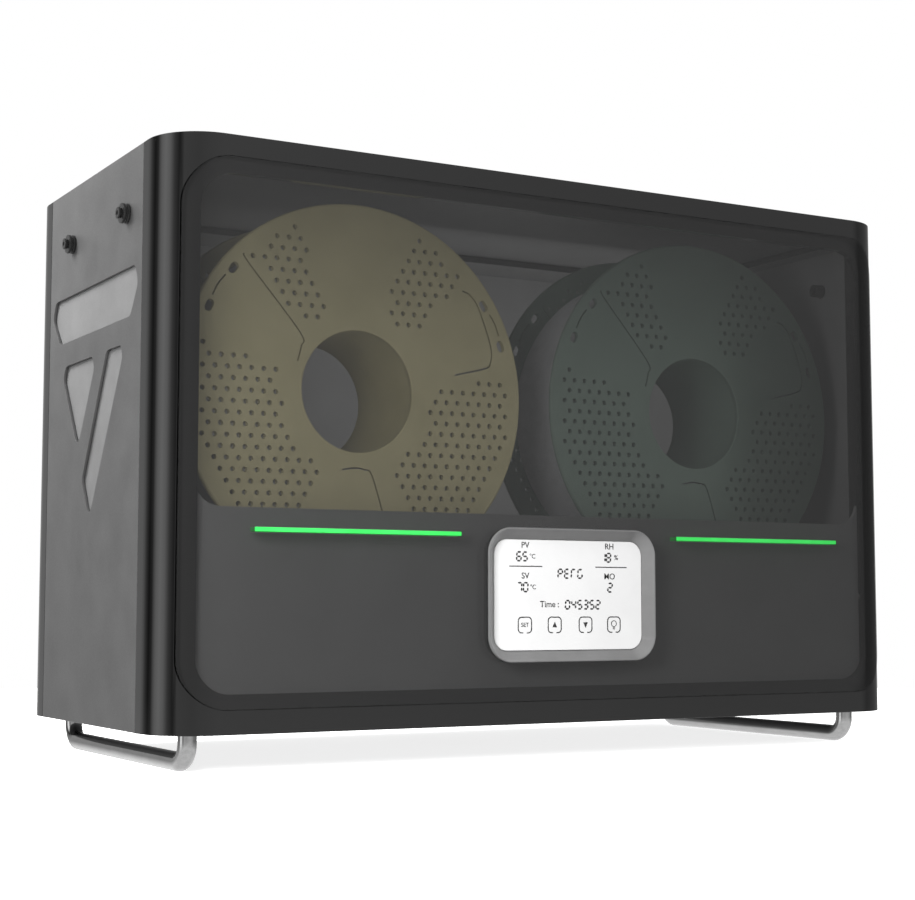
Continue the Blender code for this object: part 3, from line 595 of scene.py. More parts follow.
def addScrews(name, places, facing, body, slot="black_plastic"):
    # places are world points; facing is the way the heads look
    turn = Vector((0, 0, 1)).rotation_difference(Vector(facing)).to_matrix().to_4x4()
    bm = bmesh.new()
    for place in places:
        bm.verts.new(turn.inverted() @ Vector(place))
    seats = pieceFrom(bm, name + "Seats")
    piece = growPiece(name, screws, turn, Places=seats)
    bpy.data.objects.remove(seats)
    smoothPiece(piece)
    return settle(piece, body, slot, screwMaterial)


# depths are measured back from the front plane
shellSizes = {"cornerRadius": 0.029, "wall": 0.003, "frontWall": 0.0094, "innerRadius": 0.022,
        "seam": 0.036, "edge": 0.0005}
paneSizes = {"cornerRadius": 0.024, "gap": 0.0003, "ledge": 0.0101, "ledgeLevel": 0.0069,
        "ledgeRound": 0.007, "pocketFloor": 0.0048, "back": 0.0045, "proud": 0.0005, "edge": 0.0009,
        "slabTrim": 0.002}
# how far a cutting tool stands out of the wall it cuts, and of the bent front
toolReach, frontReach = 0.01, 0.03


def shellPlan(innerFront, innerRadius, towardRear):
    size = shellSizes
    radius = size["cornerRadius"]
    centreX = sidePlane - radius
    outer = [(-sidePlane, size["seam"])] + arcPoints((-centreX, radius), radius, 180, 270)
    outer += arcPoints((centreX, radius), radius, 270, 360) + [(sidePlane, size["seam"])]
    innerX = sidePlane - size["wall"] - innerRadius
    innerY = innerFront + innerRadius
    inner = [(sidePlane - size["wall"], size["seam"])] + arcPoints((innerX, innerY), innerRadius, 360, 270)
    inner += arcPoints((-innerX, innerY), innerRadius, 270, 180) + [(-sidePlane + size["wall"],
            size["seam"])]
    if towardRear:
        return [(x, rearPlane - y) for x, y in outer + inner]
    return [(x, frontPlane + y) for x, y in outer + inner]


def bentSlab(name, outerDepth, innerDepth, growth):
    # layer of the front that follows it round both corners, cut to the window's outline
    low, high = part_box("window_pane")
    centreX, radius = sidePlane - shellSizes["cornerRadius"], shellSizes["cornerRadius"]
    curves = []
    for depth in (outerDepth, innerDepth):
        curves.append(arcPoints((-centreX, radius), radius - depth, 180, 270) + arcPoints((centreX,
                radius), radius - depth, 270, 360))
    plan = [(x, frontPlane + y) for x, y in curves[0] + curves[1][::-1]]
    trim = paneSizes["slabTrim"]
    slab = prismPiece(name, "Z", plan, bottomLevel + trim, topLevel - trim)
    outline = roundedRectangle(high.x - low.x + 2 * growth, high.z - low.z + 2 * growth,
            paneSizes["cornerRadius"] + growth, (0, (low.z + high.z) / 2), 24)
    tool = prismPiece("outlineTool", "Y", outline, frontPlane - frontReach, frontPlane + frontReach)
    cutPiece(slab, tool, "INTERSECT")
    return slab


def buildFrontShell():
    size, pane = shellSizes, paneSizes
    low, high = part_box("window_pane")
    width, height = high.x - low.x, high.z - low.z
    middle = (0, (low.z + high.z) / 2)
    plan = shellPlan(size["frontWall"], size["innerRadius"], False)
    shell = prismPiece("frontShell", "Z", plan, bottomLevel, topLevel)
    cutPiece(shell, bentSlab("pocketTool", -toolReach, pane["pocketFloor"], pane["gap"]))
    outline = roundedRectangle(width - 2 * pane["ledge"], height - 2 * pane["ledgeLevel"],
            pane["cornerRadius"] - pane["ledgeRound"], middle)
    cutPiece(shell, prismPiece("openingTool", "Y", outline, frontPlane - toolReach,
            frontPlane + frontReach))
    softenEdges(shell, size["edge"])
    dressAs(shell, "front_shell")


ventSizes = {"count": 9, "pitch": 0.009, "first": -0.1485, "width": 0.003, "low": 0.018, "high": 0.052}
inletSizes = {"width": 0.0566, "height": 0.0266, "round": 0.002, "screwReach": 0.0368}
# screw heads stand off by the seat; rows are heights above the bottom
rearScrewSizes = {"reach": 0.190, "lowRow": 0.012, "middleRow": 0.146, "topDrop": 0.018, "seat": 0.0001}


def buildRearShell():
    size, vent, inlet, screw = shellSizes, ventSizes, inletSizes, rearScrewSizes
    plan = shellPlan(size["wall"], size["cornerRadius"] - size["wall"], True)
    shell = prismPiece("rearShell", "Z", plan, bottomLevel, topLevel)
    low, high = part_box("power_inlet")
    middle = ((low.x + high.x) / 2, (low.z + high.z) / 2)
    outline = roundedRectangle(inlet["width"], inlet["height"], inlet["round"], middle, 6)
    cutPiece(shell, prismPiece("inletTool", "Y", outline, rearPlane - toolReach, rearPlane + toolReach))
    place = Matrix.Translation((vent["first"], rearPlane, bottomLevel + (vent["low"] + vent["high"]) / 2))
    tool = growPiece("ventTool", slats, place, Count=vent["count"], Pitch=vent["pitch"],
            Size=(vent["width"], 2 * toolReach, vent["high"] - vent["low"]))
    cutPiece(shell, tool)
    softenEdges(shell, size["edge"])
    dressAs(shell, "rear_shell")
    inside = -0.8 * size["wall"]
    lineChamber(shell, lambda face: max(abs(face.center.x) - sidePlane, face.center.y - rearPlane) < inside)
    rows = [bottomLevel + screw["lowRow"], bottomLevel + screw["middleRow"], topLevel - screw["topDrop"]]
    seat = rearPlane + screw["seat"]
    places = [(sign * screw["reach"], seat, z) for sign in (-1, 1) for z in rows]
    addScrews("rearScrews", places, (0, 1, 0), "housing")
    places = [(middle[0] + sign * inlet["screwReach"], seat, middle[1]) for sign in (-1, 1)]
    addScrews("inletScrews", places, (0, 1, 0), "housing")


# corners of the cut-outs: (distance behind the front plane, height above the bottom)
cutouts = {
    "grip": [(0.1790, 0.2320), (0.0464, 0.2320), (0.0415, 0.2222), (0.0527, 0.2068), (0.1698, 0.2068),
             (0.1835, 0.2223)],
    "wedge": [(0.1580, 0.1935), (0.1120, 0.1935), (0.1086, 0.1870), (0.1350, 0.1455), (0.1625, 0.1869)],
    "blade": [(0.0890, 0.1938), (0.0660, 0.1938), (0.0638, 0.1870), (0.1135, 0.1065), (0.1265, 0.1286)],
}
panelSizes = {"cornerRound": 0.006, "edge": 0.00025, "outletHole": 0.0043}


def buildSidePanels():
    for label in ("left", "right"):
        node = "side_panel_" + label
        low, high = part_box(node)
        outline = [(low.y, low.z), (high.y, low.z), (high.y, high.z), (low.y, high.z)]
        panel = prismPiece("sidePanel" + label.title(), "X", outline, low.x, high.x)
        near, far = low.x - toolReach, high.x + toolReach
        bm = bmesh.new()
        for corners in cutouts.values():
            outline = [(frontPlane + y, bottomLevel + z) for y, z in roundedPolygon(corners,
                    panelSizes["cornerRound"])]
            addPrism(bm, "X", outline, near, far)
        cutPiece(panel, pieceFrom(bm, "decorTool"))
        for row in ("front", "rear"):
            outletLow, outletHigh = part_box(f"outlet_{label}_{row}")
            centre = ((outletLow.y + outletHigh.y) / 2, (outletLow.z + outletHigh.z) / 2)
            circle = arcPoints(centre, panelSizes["outletHole"], 0, 352.5, 47)
            cutPiece(panel, prismPiece("holeTool", "X", circle, near, far))
        softenEdges(panel, panelSizes["edge"])
        dressAs(panel, node)


barSizes = {"slotGap": 0.0003, "round": 0.0004, "edge": 0.0003}
bezelSizes = {"cornerRadius": 0.014, "border": 0.0059, "rim": 0.0006, "bodyInset": 0.0012,
        "lipProud": 0.0008, "step": 0.0003, "slopeDrop": 0.0004, "slopeSteps": 4}


def buildWindow():
    pane = paneSizes
    low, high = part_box("window_pane")
    window = bentSlab("windowPane", -pane["proud"], pane["back"], 0.0)
    near, far = low.y - toolReach, high.y + toolReach
    for label in ("left", "right"):
        barLow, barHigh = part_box("light_bar_" + label)
        gap, cornerRound = barSizes["slotGap"], barSizes["round"]
        width, height = barHigh.x - barLow.x, barHigh.z - barLow.z
        centre = ((barLow.x + barHigh.x) / 2, (barLow.z + barHigh.z) / 2)
        slot = roundedRectangle(width + 2 * gap, height + 2 * gap, cornerRound, centre, 4)
        cutPiece(window, prismPiece("slotTool", "Y", slot, near, far))
        outline = roundedRectangle(width, height, cornerRound, centre, 4)
        bar = prismPiece("lightBar" + label.title(), "Y", outline, barLow.y, barHigh.y)
        dressAs(softenEdges(bar, barSizes["edge"]), "light_bar_" + label)
    bezelLow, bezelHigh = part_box("display_bezel")
    inset = bezelSizes["bodyInset"] - pane["gap"]
    hole = roundedRectangle(bezelHigh.x - bezelLow.x - 2 * inset, bezelHigh.z - bezelLow.z - 2 * inset,
            bezelSizes["cornerRadius"] - inset, (0, (bezelLow.z + bezelHigh.z) / 2))
    cutPiece(window, prismPiece("displayTool", "Y", hole, near, far))
    softenEdges(window, pane["edge"], 3)
    dressAs(window, "window_pane")


def buildBezel():
    size = bezelSizes
    low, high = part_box("display_bezel")
    width, height = high.x - low.x, high.z - low.z
    middle = (0, (low.z + high.z) / 2)
    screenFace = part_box("display_screen")[0].y
    lip = frontPlane - size["lipProud"]
    rim, border, step = size["rim"], size["border"], size["step"]
    slope = border - step
    section = [(0, lip), (size["bodyInset"], lip), (size["bodyInset"], high.y), (border, high.y),
            (border, screenFace + step), (slope, screenFace)]
    for index in range(1, size["slopeSteps"] + 1):
        t = index / size["slopeSteps"]
        section.append((slope - (slope - 2 * rim) * t,
                screenFace + (low.y + size["slopeDrop"] - screenFace) * t))
    section += [(rim * 1.5, low.y), (rim * 0.6, low.y), (0.0, low.y + rim)]
    bm = bmesh.new()
    loops = []
    for inset, level in section:
        outline = roundedRectangle(width - 2 * inset, height - 2 * inset, size["cornerRadius"] - inset,
                middle, 20)
        loops.append([bm.verts.new((u, level, v)) for u, v in outline])
    for index, here in enumerate(loops):
        after = loops[(index + 1) % len(loops)]
        for j in range(len(here)):
            k = (j + 1) % len(here)
            bm.faces.new((here[j], here[k], after[k], after[j]))
    dressAs(smoothPiece(pieceFrom(bm, "displayBezel")), "display_bezel")


# segments lit for each character, lettered a to f clockwise from the top, g in the middle
segmentsLit = {"0": "abcdef", "1": "bc", "2": "abged", "3": "abgcd", "4": "fgbc", "5": "afgcd",
        "6": "afgcde", "7": "abc", "8": "abcdefg", "P": "abefg", "E": "adefg", "T": "aef", "G": "acdef"}
figureSizes = {"stroke": 0.00092, "segmentGap": 0.00003, "raise": 0.00008, "slant": 0.06}
displaySizes = {"label": 0.0036, "digits": 0.0046, "time": 0.0044, "inset": 0.0002, "sink": 0.00002,
        "underline": 0.00055, "underlineLevel": 0.0151}
leftColumn, rightColumn = -0.0279, 0.0257
# words with their size as a share of the label height, or characters with their pitch;
# places are measured from the middle of the display
readings = (("words", "PV", leftColumn, 0.0262, 1.25), ("digits", "65", leftColumn - 0.0021, 0.0203,
        0.0038), ("words", "°C", leftColumn + 0.0045, 0.0203, 0.95), ("words", "SV", leftColumn, 0.0100,
        1.25), ("digits", "70", leftColumn - 0.0018, 0.0041, 0.0038), ("words", "°C",
        leftColumn + 0.0048, 0.0041, 0.95), ("words", "RH", rightColumn, 0.0262, 1.25), ("digits", "18",
        rightColumn - 0.0024, 0.0203, 0.0036), ("words", "%", rightColumn + 0.0044, 0.0203, 1.05),
        ("words", "MO", rightColumn, 0.0100, 1.25), ("digits", "2", rightColumn + 0.0002, 0.0041,
        0.0038), ("digits", "PETG", 0.0002, 0.0114, 0.0042), ("words", "Time :", -0.0128, -0.0050, 1.3),
        ("time", "045352", 0.0082, -0.0051, 0.0039),)
# columns: settings, up, down, lamp
keySizes = {"columns": (-0.0282, -0.0096, 0.0100, 0.0284), "level": -0.0158, "half": 0.0041,
        "corner": 0.002, "gap": 0.0011, "line": 0.0006}


def addSegments(bm, characters, centre, height, pitch, low, high):
    stroke, gap, slant = figureSizes["stroke"], figureSizes["segmentGap"], figureSizes["slant"]
    width = height * 0.58
    half = height / 2
    ends = {"a": ((0, height), (width, height)), "b": ((width, height), (width, half)),
            "c": ((width, half), (width, 0)), "d": ((0, 0), (width, 0)), "e": ((0, half), (0, 0)),
            "f": ((0, height), (0, half)), "g": ((0, half), (width, half))}
    for index, character in enumerate(characters):
        left = centre[0] + (index - (len(characters) - 1) / 2) * pitch - width / 2
        for letter in segmentsLit.get(character, ""):
            start, end = Vector(ends[letter][0]), Vector(ends[letter][1])
            along = (end - start).normalized()
            across = Vector((-along.y, along.x)) * stroke / 2
            start, end = start + along * (gap + stroke * 0.2), end - along * (gap + stroke * 0.2)
            tip = along * stroke / 2
            shape = [start, start + tip + across, end - tip + across, end, end - tip - across,
                    start + tip - across]
            outline = [(left + p.x + slant * p.y, centre[1] - half + p.y) for p in shape]
            addPrism(bm, "Y", outline, low, high)


def addText(bm, words, centre, size, level):
    curve = bpy.data.curves.new("words", "FONT")
    curve.body = words
    curve.size = size
    curve.align_x = "CENTER"
    curve.align_y = "CENTER"
    curve.extrude = figureSizes["raise"] / 2
    curve.offset = size * 0.006
    holder = bpy.data.objects.new("words", curve)
    bpy.context.scene.collection.objects.link(holder)
    graph = bpy.context.evaluated_depsgraph_get()
    mesh = bpy.data.meshes.new_from_object(holder.evaluated_get(graph))
    bpy.data.objects.remove(holder)
    mesh.transform(Matrix.Translation((centre[0], level, centre[1])) @ Matrix.Rotation(math.pi / 2, 4, "X"))
    bm.from_mesh(mesh)


def buildScreen():
    size, key = displaySizes, keySizes
    low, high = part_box("display_screen")
    width, height = high.x - low.x, high.z - low.z
    middle = (0, (low.z + high.z) / 2)
    inset = size["inset"]
    radius = bezelSizes["cornerRadius"] - bezelSizes["border"] - paneSizes["gap"]
    bm = bmesh.new()
    rings = [(roundedRectangle(width, height, radius, middle), high.y), (roundedRectangle(width, height,
            radius, middle), low.y + inset), (roundedRectangle(width - 2 * inset, height - 2 * inset,
            radius - inset, middle), low.y)]
    addLoft(bm, "Y", rings)
    dressAs(smoothPiece(pieceFrom(bm, "displayScreen")), "display_screen")

    near, far = low.y - figureSizes["raise"], low.y + size["sink"]
    zero, label = middle[1], size["label"]
    bm = bmesh.new()
    for kind, characters, x, z, share in readings:
        if kind == "words":
            addText(bm, characters, (x, zero + z), label * share, near)
        else:
            addSegments(bm, characters, (x, zero + z), size[kind], share, near, far)
    for column in (leftColumn + 0.0006, rightColumn + 0.0013):
        level = zero + size["underlineLevel"]
        line = [(column - 0.0104, level), (column + 0.0100, level)]
        addPrism(bm, "Y", stripOutline(line, size["underline"]), near, far)

    level, corner = zero + key["level"], key["corner"]
    straight = key["half"] - corner
    for x in key["columns"]:
        for sign in (-1, 1):
            path = [(x, level + key["half"])]
            for start, end, rise in ((90, 90 - sign * 90, straight), (90 - sign * 90, 90 - sign * 180,
                    -straight)):
                path += arcPoints((x + sign * straight, level + rise), corner, start, end, 8)
            path.append((x + sign * key["gap"], level - key["half"]))
            addPrism(bm, "Y", stripOutline(path, key["line"]), near, far)
    settings, up, down, lamp = key["columns"]
    addText(bm, "SET", (settings, level), label * 0.85, near)
    for x, way in ((up, 1), (down, -1)):
        base = level - way * 0.0013
        triangle = [(x - 0.0014, base), (x + 0.0014, base), (x, level + way * 0.0017)]
        addPrism(bm, "Y", triangle, near, far)
    bulb = arcPoints((lamp, level + 0.0005), 0.0016, -60, 240, 20)
    addPrism(bm, "Y", stripOutline(bulb, 0.0004), near, far)
    for step in range(3):
        thread = level - 0.0011 - step * 0.0006
        line = [(lamp - 0.0007, thread), (lamp + 0.0007, thread)]
        addPrism(bm, "Y", stripOutline(line, 0.00035), near, far)
    settle(pieceFrom(bm, "displayFigures"), "housing", "display_white", inkMaterial)


rodSizes = {"radius": 0.0047, "bend": 0.010, "sides": 32, "bendSteps": 14, "straight": 0.0005}


def buildFeet():
    size = rodSizes
    for label in ("left", "right"):
        low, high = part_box("foot_rod_" + label)
        x = (low.x + high.x) / 2
        radius, bend = size["radius"], size["bend"]
        near, far = low.y + radius, high.y - radius
        level = low.z + radius
        turnLevel = level + bend + size["straight"]
        path = [(near, high.z), (near, turnLevel)]
        path += arcPoints((near + bend, level + bend), bend, 180, 270, size["bendSteps"])
        path += arcPoints((far - bend, level + bend), bend, 270, 360, size["bendSteps"])
        path += [(far, turnLevel), (far, high.z)]
        bm = bmesh.new()
        rings = []
        for index, (y, z) in enumerate(path):
            before, after = path[max(index - 1, 0)], path[min(index + 1, len(path) - 1)]
            tangent = Vector((0, after[0] - before[0], after[1] - before[1])).normalized()
            normal = tangent.cross(Vector((1, 0, 0)))
            ring = []
            for turn in range(size["sides"]):
                angle = math.tau * turn / size["sides"]
                offset = normal * math.cos(angle) + Vector((1, 0, 0)) * math.sin(angle)
                ring.append(bm.verts.new(Vector((x, y, z)) + offset * radius))
            rings.append(ring)
        for lower, upper in zip(rings, rings[1:]):
            for i in range(size["sides"]):
                j = (i + 1) % size["sides"]
                bm.faces.new((lower[i], lower[j], upper[j], upper[i]))
        bm.faces.new(rings[0])
        bm.faces.new(rings[-1])
        dressAs(smoothPiece(pieceFrom(bm, "footRod" + label.title())), "foot_rod_" + label)


# lathe profiles are (radius, distance out of the wall)
outletSizes = {"bore": 0.0026, "thread": 0.0039, "collar": 0.0052, "neck": 0.0040, "edge": 0.0002,
        "depth": 0.009, "seat": 0.0003, "neckStart": 0.0014, "neckEnd": 0.0024}
colletSizes = {"bore": 0.0012, "sleeve": 0.0022, "head": 0.0030, "depth": 0.004, "headLength": 0.001}


def buildOutlets():
    size, inner = outletSizes, colletSizes
    for label, sign in (("left", -1), ("right", 1)):
        for row in ("front", "rear"):
            node = f"outlet_{label}_{row}"
            low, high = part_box(node)
            centre = Vector((sign * sidePlane, (low.y + high.y) / 2, (low.z + high.z) / 2))
            face = max(abs(low.x), abs(high.x)) - sidePlane
            place = Matrix.Translation(centre) @ Matrix.Rotation(sign * math.pi / 2, 4, "Y")
            outlet = [(size["bore"], -size["depth"]), (size["thread"], -size["depth"]), (size["thread"],
                    size["seat"]), (size["collar"], size["seat"]), (size["collar"], size["neckStart"]),
                    (size["neck"], size["neckStart"]), (size["neck"], size["neckEnd"]), (size["collar"],
                    size["neckEnd"]), (size["collar"], face), (size["bore"], face)]
            colletNode = f"collet_{label}_{row}"
            low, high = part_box(colletNode)
            tip = max(abs(low.x), abs(high.x)) - sidePlane
            head = tip - inner["headLength"]
            collet = [(inner["bore"], -inner["depth"]), (inner["sleeve"], -inner["depth"]),
                    (inner["sleeve"], head), (inner["head"], head), (inner["head"], tip), (inner["bore"],
                    tip)]
            for kind, profile, sides in (("outlet", outlet, 48), ("collet", collet, 40)):
                bm = bmesh.new()
                addLathe(bm, roundedPolygon(profile, size["edge"], 3), sides, place)
                piece = pieceFrom(bm, kind + label.title() + row.title())
                dressAs(smoothPiece(piece), f"{kind}_{label}_{row}")


spoolSizes = {"rim": 0.0016, "bore": 0.0323, "barrelOuter": 0.0400, "flange": 0.003, "hubLip": 0.0022,
        "lipHalf": 0.0016, "lipRound": 0.0006, "rimFit": 0.0008, "boreFit": 0.0010, "windingFit": 0.0003,
        "turns": 33, "strand": 0.00087, "slotWidth": 0.0009}
# perforated sectors: start angle, end angle, inner radius, outer radius
sectors = ((45, 70, 0.043, 0.092), (112, 133, 0.043, 0.092), (166, 246, 0.044, 0.093),
        (294, 359.9, 0.043, 0.093), (0, 7, 0.044, 0.093))
# thin slots that outline the flange's plain panels, as (radius, degrees)
flangeSlots = (
    ((0.094, 134), (0.088, 135), (0.0445, 139), (0.0395, 146), (0.0375, 158)),
    ((0.0865, 43), (0.0890, 40), (0.0890, 34), (0.0865, 20), (0.0835, 14), (0.0790, 12.5), (0.0600, 12)),
    ((0.0425, 258), (0.0405, 268), (0.0415, 276), (0.0450, 281), (0.0700, 283.5), (0.0900, 284)),
    ((0.0935, 22.5), (0.0940, 26.5), (0.0935, 30.5)),
    ((0.0935, 143.5), (0.0940, 147.5), (0.0935, 151.5)),
)
# oval slots at the rim that hold the strand's end
strandSlots = {"radius": 0.0925, "width": 0.0042, "length": 0.0066, "round": 0.0021, "angles": (19, 34,
        140, 155)}


def polar(radius, degrees):
    angle = math.radians(degrees)
    return (radius * math.cos(angle), radius * math.sin(angle))


def flangeLines():
    size = strandSlots
    bm = bmesh.new()

    def addLoop(points):
        verts = [bm.verts.new((x, y, 0)) for x, y in points]
        for i in range(len(verts)):
            bm.edges.new((verts[i], verts[(i + 1) % len(verts)]))

    for path in flangeSlots:
        addLoop(stripOutline(smoothPath([polar(*spot) for spot in path]), spoolSizes["slotWidth"]))
    for angle in size["angles"]:
        centre = Vector(polar(size["radius"], angle))
        outline = roundedRectangle(size["width"], size["length"], size["round"], (0, 0), 6)
        turn = Matrix.Rotation(math.radians(angle), 2)
        addLoop([tuple(centre + turn @ Vector(point)) for point in outline])
    return pieceFrom(bm, "flangeLines")


def smoothPath(points, steps=5):
    # Catmull-Rom curve through the points
    smooth = []
    for index in range(len(points) - 1):
        a = Vector(points[max(index - 1, 0)])
        b, c = Vector(points[index]), Vector(points[index + 1])
        d = Vector(points[min(index + 2, len(points) - 1)])
        for step in range(steps):
            t = step / steps
            smooth.append(tuple(0.5 * (2 * b + (c - a) * t + (2 * a - 5 * b + 4 * c - d) * t ** 2
                    + (3 * b - a - 3 * c + d) * t ** 3)))
    smooth.append(tuple(points[-1]))
    return smooth


def buildSpools():
    size = spoolSizes
    bore, flangeThick, lip, outerBarrel = size["bore"], size["flange"], size["lipHalf"], size["barrelOuter"]
    rim, strand = size["rim"], size["strand"]
    lines = flangeLines()
    upright = Matrix.Rotation(math.pi / 2, 4, "X")
    for label in ("left", "right"):
        node = "spool_" + label
        low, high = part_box(node)
        centre = (low + high) / 2
        radius = (high.z - low.z) / 2
        half = (high.y - low.y) / 2
        tree = flangeTree(sectors, lines, materialFor[slotOf[node]])
        # local Z points out of the front, local X along world X
        toFront = Matrix.Translation(centre) @ upright
        bm = bmesh.new()
        for shift in (half - flangeThick, -half):
            flange = growPiece("flange", tree, toFront @ Matrix.Translation((0, 0, shift)),
                    OuterRadius=radius - size["rimFit"], BoreRadius=bore + size["boreFit"],
                    Thickness=flangeThick, Lines=lines)
            bm.from_mesh(flange.data)
            bpy.data.objects.remove(flange)
        for shift in (half - flangeThick / 2, -half + flangeThick / 2):
            bead = arcPoints((radius - rim, shift), rim, 0, 345, 23)
            addLathe(bm, bead, 160, toFront)
            hub = bore + size["hubLip"]
            corners = [(bore, shift - lip), (hub, shift - lip), (hub, shift + lip), (bore, shift + lip)]
            addLathe(bm, roundedPolygon(corners, size["lipRound"], 3), 96, toFront)
        barrel = [(bore, -half + lip), (outerBarrel, -half + lip), (outerBarrel, half - lip),
                (bore, half - lip)]
        addLathe(bm, barrel, 96, toFront)
        dressAs(smoothPiece(pieceFrom(bm, "spool" + label.title())), node)

        node = "filament_" + label
        low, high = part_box(node)
        outer = (high.z - low.z) / 2
        width = high.y - low.y
        winding = windingTree(materialFor[slotOf[node]])
        place = Matrix.Translation((centre.x, high.y - strand, centre.z)) @ upright
        coil = growPiece("coil", winding, place, Turns=float(size["turns"]), Radius=outer - strand,
                Length=width - 2 * strand, StrandRadius=strand)
        bm = bmesh.new()
        bm.from_mesh(coil.data)
        bpy.data.objects.remove(coil)
        inner, end = outerBarrel + size["windingFit"], width / 2
        core = [(inner, -end), (outer - strand, -end), (outer - strand, end), (inner, end)]
        addLathe(bm, core, 96, Matrix.Translation(((low + high) / 2)) @ upright)
        dressAs(smoothPiece(pieceFrom(bm, "filament" + label.title())), node)
    bpy.data.objects.remove(lines)


rollerSizes = {"ribs": 13, "rib": 0.0007, "endRound": 0.0008, "bore": 0.0033, "ribInset": 0.004}


def buildRollers():
    size = rollerSizes
    tree = ribTree(materialFor["roller_rubber"])
    for row in ("front", "rear"):
        for index in range(1, 5):
            node = f"roller_{row}_{index}"
            low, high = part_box(node)
            centre = (low + high) / 2
            half = (high.y - low.y) / 2
            radius = (high.z - low.z) / 2
            bore, sleeveRadius, inset = size["bore"], radius - size["rib"], size["ribInset"]
            turn = Matrix.Translation(centre) @ Matrix.Rotation(math.pi / 2, 4, "X")
            bm = bmesh.new()
            corners = [(bore, -half), (sleeveRadius, -half), (sleeveRadius, half), (bore, half)]
            addLathe(bm, roundedPolygon(corners, size["endRound"], 3), 28, turn)
            ribs = growPiece("ribs", tree, turn @ Matrix.Translation((0, 0, -half + inset)),
                    Count=size["ribs"], Length=2 * half - 2 * inset, Radius=sleeveRadius, Rib=size["rib"])
            bm.from_mesh(ribs.data)
            bpy.data.objects.remove(ribs)
            dressAs(smoothPiece(pieceFrom(bm, f"roller{row.title()}{index}")), node)


# the other pieces keep the CAD shape and get edges of these widths
edgeWidths = {"side_backing_left": 0.0002, "side_backing_right": 0.0002, "bottom_plate": 0.0004,
        "front_baffle": 0.0004, "control_board": 0.0001, "top_frame": 0.0004, "lid_gasket": 0.0004,
        "lid": 0.0006, "hinge_strip": 0.0004, "hinge_pin_left": 0.0002, "hinge_pin_right": 0.0002,
        "chamber_deck": 0.0004, "roller_cradle_front": 0.0003, "roller_cradle_middle": 0.0003,
        "roller_cradle_rear": 0.0003, "fan_frame": 0.0003, "fan_rotor": 0.0002, "heater": 0.0002,
        "power_board": 0.0001, "power_inlet": 0.0003, "power_switch": 0.0003, "humidity_sensor": 0.0001,
        "roller_shaft_1": 0.0002, "roller_shaft_2": 0.0002, "roller_shaft_3": 0.0002,
        "roller_shaft_4": 0.0002,}


def refineNodes():
    for node, width in edgeWidths.items():
        bm = bmesh.new()
        bm.from_mesh(frame["nodes"][node].data)
        bmesh.ops.remove_doubles(bm, verts=bm.verts, dist=1e-5)
        bmesh.ops.dissolve_limit(bm, angle_limit=math.radians(0.5), verts=bm.verts, edges=bm.edges)
        words = node.split("_")
        piece = pieceFrom(bm, words[0] + "".join(word.title() for word in words[1:]))
        softenEdges(piece, width)
        dressAs(piece, node)
        if node in ("lid", "top_frame"):
            lineChamber(piece, lambda face: face.normal.z < -0.5)
        if node.startswith("side_backing"):
            lineChamber(piece, lambda face: face.normal.x * face.center.x < 0 and abs(face.normal.x) > 0.5)


fastenerSizes = {"bottomReach": 0.190, "bottomInset": 0.018, "bottomSeat": 0.0001, "fanInset": 0.005,
        "fanSeat": 0.0035, "frameInset": 0.006, "frameReaches": (-0.15, -0.05, 0.05, 0.15)}


def addFasteners():
    size = fastenerSizes
    low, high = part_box("bottom_plate")
    reach, inset = size["bottomReach"], size["bottomInset"]
    places = [(x, y, low.z - size["bottomSeat"]) for x in (-reach, 0.0, reach) for y in (low.y + inset,
            high.y - inset)]
    addScrews("bottomScrews", places, (0, 0, -1), "housing")
    low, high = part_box("fan_frame")
    inset = size["fanInset"]
    places = [(x, y, high.z + size["fanSeat"]) for x in (low.x + inset, high.x - inset) for y in (low.y
            + inset, high.y - inset)]
    addScrews("fanScrews", places, (0, 0, 1), "housing")
    low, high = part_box("top_frame")
    places = [(x, low.y + size["frameInset"], high.z) for x in size["frameReaches"]]
    addScrews("frameScrews", places, (0, 0, 1), "housing")


# reflected brightness round the object: (bearing from the front in degrees, brightness)
studioBands = ((-180, 0.5), (-150, 0.5), (-140, 0.23), (-130, 0.03), (-121, 0.2), (-110, 1.7),
        (-100, 2.4), (-90, 2.0), (-80, 0.68), (-70, 0.12), (-61, 0.85), (-30, 0.75), (-10, 0.85),
        (22, 0.95), (43, 0.72), (60, 0.35), (100, 0.25), (150, 0.3), (180, 0.5))
# the heights are the upward share of a direction at which the sky and the floor level start and are full
studio = {"brightest": 2.5, "floorSize": 0.85, "underside": 0.12, "floorGlow": 1.3, "skyStart": 0.45,
        "skyFull": 0.8, "floorStart": -0.05, "floorFull": -0.35}
chamberHeight, behindWindow, behindSpools = bottomLevel + 0.19, frontPlane + 0.008, frontPlane + 0.118
# place, target, width, height, power
lights = {"topLight": ((0.0, -0.1, 1.5), (0.0, 0.0, 0.0), 1.6, 1.6, 5.0),
        "sideLight": ((-0.46, 0.20, 0.50), (-0.23, 0.12, 0.27), 0.25, 0.25, 7.5),
        "windowLight": ((-0.44, -0.42, 0.22), (-0.18, -0.09, 0.16), 0.18, 0.18, 4.5),
        "spoolLamp": ((-0.04, behindWindow, chamberHeight), (-0.04, 1.0, chamberHeight + 0.15), 0.36,
        0.16, 0.11), "rearWallLamp": ((0.06, behindSpools, chamberHeight), (0.06, 1.0, chamberHeight),
        0.32, 0.16, 0.19),}


